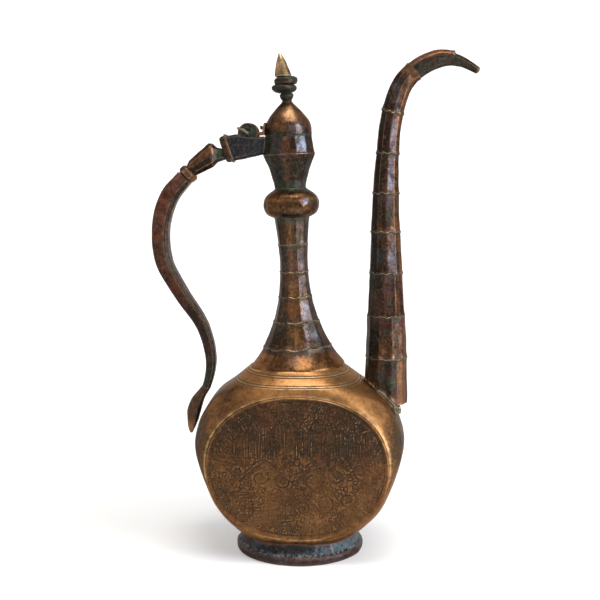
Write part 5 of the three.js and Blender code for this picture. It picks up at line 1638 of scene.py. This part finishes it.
def grip():
    rows = uneven_bar(GRIP_LINE, BAR_CHAMFER, 96, (0.13, 12, 101), (0.07, 5, 102))
    made = build_piece("grip_bar", at_neck(rows))
    trough = inner_rows(extended(GRIP_LINE[::4], 1.0), GRIP_LIP, 1.0, lambda high: high * 2 - GRIP_WALL)
    carve(made, build_piece("trough", at_neck(trough)))
    low, high = GRIP_LINE[-1, 1], GRIP_LINE[0, 1]

    def outward(p):
        """How far out across the bar a point lies, -1 on its inner side and 1 on its outer side."""
        x, z, angle, half, _ = nearest(p, GRIP_LINE).T
        return ((z - p.z) * -np.cos(angle) - (p.x - x) * np.sin(angle)) / half

    def shaded(p):
        inside = smoothstep(-0.5, -0.62, outward(p))
        end = smoothstep(high - 5, high + 1, p.z)
        lower = smoothstep(0.7, 0.1, share_up(p, low, high))
        return 0.1 - 1.2 * lower - 0.7 * inside + 0.9 * end * smoothstep(0.2, 0.5, outward(p))

    # Dirt and painted shade on the inner side, low down and at the top end.
    def film_and_shade(p):
        top = smoothstep(high - 8, high + 3, p.z) * smoothstep(0, -0.4, outward(p))
        return 0.5 * top + 0.5 * smoothstep(low + 40, low, p.z) + 0.3 * smoothstep(-0.5, -0.62, outward(p))

    # A pale line along the inner chamfer and on the top end, partly worn metal and partly painted highlight.
    def rubbed_and_highlight(p):
        top = smoothstep(high - 4, high, p.z) * smoothstep(0.3, 0.7, outward(p))
        return 0.8 * hump(outward(p), -0.47, 0.06) + 0.4 * top

    masks = {"tone": shaded, "grime": film_and_shade, "wear": rubbed_and_highlight}
    finish_piece(made, "vessel", "grip_copper", "handle_grip", masks=masks, wear=(0.2, 0.9),
                 grime=(0.08, 0.4))


def grip_strip():
    line = extended(GRIP_LINE, -0.1)[1:-1]
    rows = inner_rows(line, GRIP_LIP + 0.12, 0, lambda high: STRIP_THICKNESS)
    fine = []
    for side in range(4):
        start, end = rows[:, side], rows[:, (side + 1) % 4]
        shares = (0, 0.5) if side % 2 else (0, 0.12, 0.3, 0.5, 0.7, 0.88)
        fine += [start + (end - start) * share for share in shares]
    rows = np.stack(fine, 1)
    rows = rows + 0.1 * ripple(rows, 5, 105)[..., None]
    made = build_piece("grip_closing_strip", at_neck(rows))
    finish_piece(made, "vessel", "grip_copper", "handle_grip_strip", masks={"tone": -0.6},
                 wear=(0.3, 1.2))


def terminal():
    foot = GRIP_LINE[-1]
    stations = [(foot[0] - 0.05 * math.cos(foot[2]), foot[1] - 0.05 * math.sin(foot[2]), foot[3], foot[4])]
    stations += [(-BELLY_RADIUS - TERMINAL_REACH * out, BODY_BOTTOM + BODY_HEIGHT * up,
                  TERMINAL_HALF_HEIGHT * high, GRIP_HALF_DEPTH * deep)
                 for out, up, high, deep in TERMINAL_SHARES]
    line = bar_line(stations, 90)
    line[0, 2] = foot[2]
    rows = uneven_bar(line, BAR_CHAMFER, 72, (0.18, 6, 107), (0.1, 2.6, 108))
    made = build_piece("tail_end", at_neck(rows))
    low = line[-1, 1]
    masks = {"grime": lambda p: 0.55 * smoothstep(low + 5, low + 14, p.z),
             "tone": lambda p: 0.6 * smoothstep(low + 14, low, p.z) + 0.5,
             "wear": lambda p: 0.35 * smoothstep(low + 12, low + 2, p.z)}
    finish_piece(made, "vessel", "dark_copper", "handle_terminal", masks=masks, wear=(0.12, 0.6))


BAND_X, BAND_Z, BAND_ANGLE = -43.6, 307.4, math.radians(16)
BAND_PROFILE = [(-0.3, 10.2, 6.9), (0.3, 10.4, 7.0), (0.7, 11.0, 7.4), (1.3, 11.0, 7.4), (1.7, 10.2, 6.9),
                (3.0, 10.0, 6.8), (4.6, 9.7, 6.6), (5.4, 9.1, 6.1), (5.8, 7.6, 5.0)]
BAND_CHAMFER = 0.3
KNOP_CREST = -57.6


def sleeve():
    sleeve_end = unlean(node_points("handle_bracket"))[:, 0].min()
    made = worn_copy("handle_bracket", "handle_sleeve", 0.4, 4)
    masks = {"grime": lambda p: 0.45 * smoothstep(sleeve_end + 14, sleeve_end + 27, p.x) + 0.15,
             "tone": lambda p: -0.9 + 0.5 * smoothstep(sleeve_end + 6, sleeve_end, p.x)}
    finish_piece(made, "vessel", "sleeve_patina", "handle_bracket", masks=masks,
                 dents=((0.25, 7, 111), (0.1, 3, 112)), wear=(0.16, 0.8))


def sleeve_band():
    across, down = math.cos(BAND_ANGLE), math.sin(BAND_ANGLE)
    line = chord_spline([(BAND_X - run * across, BAND_Z - run * down, high, deep)
                         for run, high, deep in BAND_PROFILE], 60)
    stations = np.insert(line, 2, BAND_ANGLE, axis=1)
    rows = uneven_bar(stations, BAND_CHAMFER, 96, (0.14, 5, 113))
    made = build_piece("sleeve_band", at_neck(rows))

    def wear(p):
        return 0.7 * hump((BAND_X - p.x) * across - (p.z - BAND_Z) * down, 1.0, 0.45)

    finish_piece(made, "vessel", "dark_copper", "handle_bracket_band", wear=(0.1, 0.6),
                 masks={"tone": -0.1, "wear": wear})


def knop():
    made = worn_copy("handle_knop", "knop_facets", 0.36, 4)
    local = unlean(flat_points(made.data))
    thin = 0.3 * smoothstep(KNOP_CREST, KNOP_CREST + 4.5, local[:, 0])
    ends = [local[np.abs(local[:, 0] - at) < 1.2][:, 2].mean() for at in (KNOP_CREST, BAND_X - 4)]
    centre = np.interp(local[:, 0], (KNOP_CREST, BAND_X - 4), ends)
    local[:, 1] *= 1 - thin
    local[:, 2] += (centre - local[:, 2]) * thin
    set_points(made.data, lean(local))
    left = unlean(node_points("handle_knop"))[:, 0].min()

    def grime(p):
        crest, end = smoothstep(KNOP_CREST + 1, KNOP_CREST + 4, p.x), smoothstep(left + 4.5, left, p.x)
        return 0.95 * crest + 0.8 * end

    masks = {"grime": grime, "wear": lambda p: 0.5 * hump(p.x, KNOP_CREST + 0.6, 0.7),
             "tone": lambda p: 0.1 - 0.6 * smoothstep(2.5, -1, p.z - 300 - 0.55 * (p.x + 60))}
    finish_piece(made, "vessel", "dark_copper", "handle_knop", masks=masks, wear=(0.1, 0.6),
                 dents=((0.16, 6, 115), (0.07, 2.6, 116)))


def ring():
    made = worn_copy("handle_ring", "ring_collar", 0.34, 4)
    finish_piece(made, "vessel", "dark_copper", "handle_ring", dents=((0.14, 4, 117),), wear=(0.1, 0.6),
                 masks={"tone": 0.2, "wear": 0.22})


# Hinge

HINGE_X, HINGE_Z = -LID_RADIUS - 12, LID_FOOT + 2.6
PIN_REACH, PIN_RADIUS, STRAND_RADIUS, STRAND_TWIST = 7.7, 1.08, 1.1, 1.35


def ears():
    """The hinge's two ears, each with a hollow in its outer face."""
    for node, name in (("hinge_lug_front", "ear_front"), ("hinge_lug_rear", "ear_rear")):
        made = worn_copy(node, name, 0.22, 2)
        points = unlean(node_points(node))
        outside = -1 if points[:, 1].mean() < 0 else 1
        face = points[:, 1].min() if outside < 0 else points[:, 1].max()
        local = unlean(flat_points(made.data))
        reach = np.hypot(local[:, 0] - HINGE_X, local[:, 2] - HINGE_Z)
        sunk = smoothstep(6.5, 5.9, reach) * (np.abs(local[:, 1] - face) < 0.6)
        local[:, 1] -= outside * 0.8 * sunk
        set_points(made.data, lean(local))

        def hollow(p):
            return smoothstep(6.6, 5.8, np.hypot(p.x - HINGE_X, p.z - HINGE_Z))

        masks = {"grime": hollow, "tone": lambda p: -1.6 * hollow(p) - 0.3,
                 "wear": lambda p: -0.2 - hollow(p)}
        finish_piece(made, "vessel", "dark_copper", node, dents=((0.08, 3, 120),), wear=(0.08, 0.4),
                     masks=masks)


def leaf():
    made = worn_copy("lid_leaf", "leaf_strap", 0.25, 2)
    finish_piece(made, "lid", "dark_copper", "lid_leaf", dents=((0.08, 3, 122),), wear=(0.1, 0.6),
                 masks={"tone": 1.2, "wear": 0.35})


def small_solids():
    for node, name in (("lid_rivet_front", "rivet_front"), ("lid_rivet_rear", "rivet_rear"),
                       ("finial_washer", "stem_washer"), ("finial_stem", "stem_bar")):
        made = worn_copy(node, name, 0.16, 2)
        slot = "dark_copper" if node == "finial_washer" else "iron_wire"
        finish_piece(made, "lid", slot, node, wear=(0.2, 0.9), grime=(0.15, 0.9))


def wire():
    """Twisted wire pin: a rod through the hinge whose two strands show where it is bent over."""
    front = -PIN_REACH
    controls = [(HINGE_X, depth, HINGE_Z) for depth in (PIN_REACH, 3, -3, front)]
    controls += [(HINGE_X - 0.8, front - 1.4, HINGE_Z + 0.6), (HINGE_X - 3.6, front - 1.7, HINGE_Z + 2.4),
                 (HINGE_X - 7.4, front - 1.6, HINGE_Z + 4)]
    line = chord_spline(controls, 400)
    run = run_along(line)
    along = np.gradient(line, axis=0)
    along /= np.linalg.norm(along, axis=1)[:, None]
    side = np.cross(along, [0.0, 0.0, 1.0])
    side /= np.linalg.norm(side, axis=1)[:, None]
    over = np.cross(side, along)
    columns = 40
    beta = round_angles(columns)[None, :]
    bent = smoothstep(9, 13, run)[:, None]
    twist = run[:, None] * STRAND_TWIST
    strands = STRAND_RADIUS * (0.62 + 0.38 * np.abs(np.cos(beta - twist)) ** 0.7)
    reach = PIN_RADIUS + (strands - PIN_RADIUS) * bent
    reach = reach * np.clip(np.minimum(run, run[-1] - run)[:, None] / 0.5, 0.3, 1) ** 0.5
    rows = line[:, None, :] + side[:, None, :] * (np.cos(beta) * reach)[..., None] \
        + over[:, None, :] * (np.sin(beta) * reach)[..., None]
    made = build_piece("wire_pin", at_neck(rows))
    finish_piece(made, "vessel", "iron_wire", "hinge_pin", wear=(0.3, 1.4), grime=(0.2, 1.2),
                 masks={"wear": lambda p: 0.7 * smoothstep(-7, -8.5, p.y)})


body()
medallion("front_disc", "front_medallion", -1, 201)
medallion("rear_disc", "rear_medallion", 1, 401)
foot()
neck()
bulb()
cup()
lid()
bezel()
finial()
collar()
spout_tube()
spout_beak()
grip()
grip_strip()
terminal()
sleeve()
sleeve_band()
knop()
ring()
ears()
leaf()
small_solids()
wire()


# Studio

def pale(name, colour, glows, near, far):
    """Pale floor and backdrop. Camera, mirrored and clear rays see it glow by, beside and behind the ewer."""
    material, tree, shader, place = new_material(name)
    path = node(tree, "LightPath", {}).outputs
    seen = Value(path["Is Camera Ray"]) + Value(path["Is Glossy Ray"])
    seen = (seen + Value(path["Is Transmission Ray"])).clamped()
    reach = Value(node(tree, "VectorMath", {0: place}, operation="LENGTH").outputs["Value"])
    facing = Value(node(tree, "SeparateXYZ", {0: place}).outputs["Y"]) / reach.at_least(near)
    behind = ((facing + 0.2) / 0.85).clamped()
    away = ((reach - near) / (far - near)).clamped()
    by_ewer, beside, back = glows
    glow = away * (behind * (back - beside) + (beside - by_ewer)) + by_ewer
    fill(shader.inputs, {"Base Color": colour, "Roughness": 0.9, "Specular IOR Level": 0.1,
                         "Emission Color": (1, 1, 1), "Emission Strength": seen * glow})
    return material


COVE_RADIUS, COVE_BEND, COVE_RISE = 1.7, 0.6, 1.2


def floor_and_backdrop():
    """One pale sweep all round: a floor that curves up into a low wall."""
    flat = COVE_RADIUS - COVE_BEND
    profile = [(share * flat, 0.0) for share in (0.1, 0.3, 0.6, 1.0)]
    profile += [(flat + COVE_BEND * math.sin(a), COVE_BEND * (1 - math.cos(a)))
                for a in (math.radians(6 * step) for step in range(1, 16))]
    profile += [(COVE_RADIUS, COVE_RISE)]
    columns = 120
    rows = turned(np.array(profile) / MM, columns).reshape(-1, 3)
    points = np.concatenate([[[0, 0, 0]], rows]) + [0, 0, FLOOR_Z]
    index = 1 + np.arange(len(rows)).reshape(-1, columns)
    beside = np.roll(index, -1, 1)
    middle = np.stack([0 * index[0], index[0], beside[0]], -1)
    quads = np.stack([index[:-1], index[1:], beside[1:], beside[:-1]], -1).reshape(-1, 4)
    mesh = mesh_of("studio_floor", points, middle, quads)
    for face in mesh.polygons:
        face.use_smooth = True
    floor = piece_object("studio_floor", mesh)
    mesh.materials.append(pale("studio_white", (0.72, 0.72, 0.72), (0.32, 0.3, 0.6), 0.12, 0.9))


def area_light(name, place, target, width, height, power, colour):
    light = bpy.data.lights.new(name, "AREA")
    light.shape = "RECTANGLE"
    light.size = width
    light.size_y = height
    light.energy = power
    light.color = colour
    made = bpy.data.objects.new(name, light)
    made.location = place
    made.rotation_euler = (Vector(target) - Vector(place)).to_track_quat("-Z", "Y").to_euler()
    made.visible_camera = False
    bpy.context.scene.collection.objects.link(made)


def around_ewer(azimuth, distance, height):
    """A place at an azimuth in degrees right of the front, in metres."""
    angle = math.radians(azimuth)
    return AXIS_X * MM + distance * math.sin(angle), -distance * math.cos(angle), height


def studio():
    floor_and_backdrop()
    middle = (AXIS_X * MM, 0, 0.2)
    area_light("window_right", around_ewer(60, 1.2, 0.5), middle, 0.5, 1.0, 15, (0.82, 0.91, 1.0))
    area_light("top_light", (0.12, -0.25, 1.35), middle, 0.8, 0.6, 12, (1.0, 0.94, 0.86))
    world = bpy.data.worlds.new("studio_world")
    world.use_nodes = True
    background = world.node_tree.nodes["Background"]
    background.inputs[0].default_value = (0.97, 0.98, 1.0, 1)
    background.inputs[1].default_value = 0.5
    bpy.context.scene.world = world


def camera():
    data = bpy.data.cameras.new("photo_camera")
    data.lens = CAMERA_LENS
    data.sensor_width = 36
    data.clip_end = 20
    made = bpy.data.objects.new("photo_camera", data)
    made.location = around_ewer(CAMERA_AZIMUTH, CAMERA_DISTANCE, FLOOR_Z * MM + CAMERA_HEIGHT)
    made.rotation_euler = (math.pi / 2 - CAMERA_PITCH, 0, math.radians(CAMERA_AZIMUTH))
    bpy.context.scene.collection.objects.link(made)
    bpy.context.scene.camera = made


studio()
camera()
bpy.context.scene.view_settings.view_transform = "Standard"
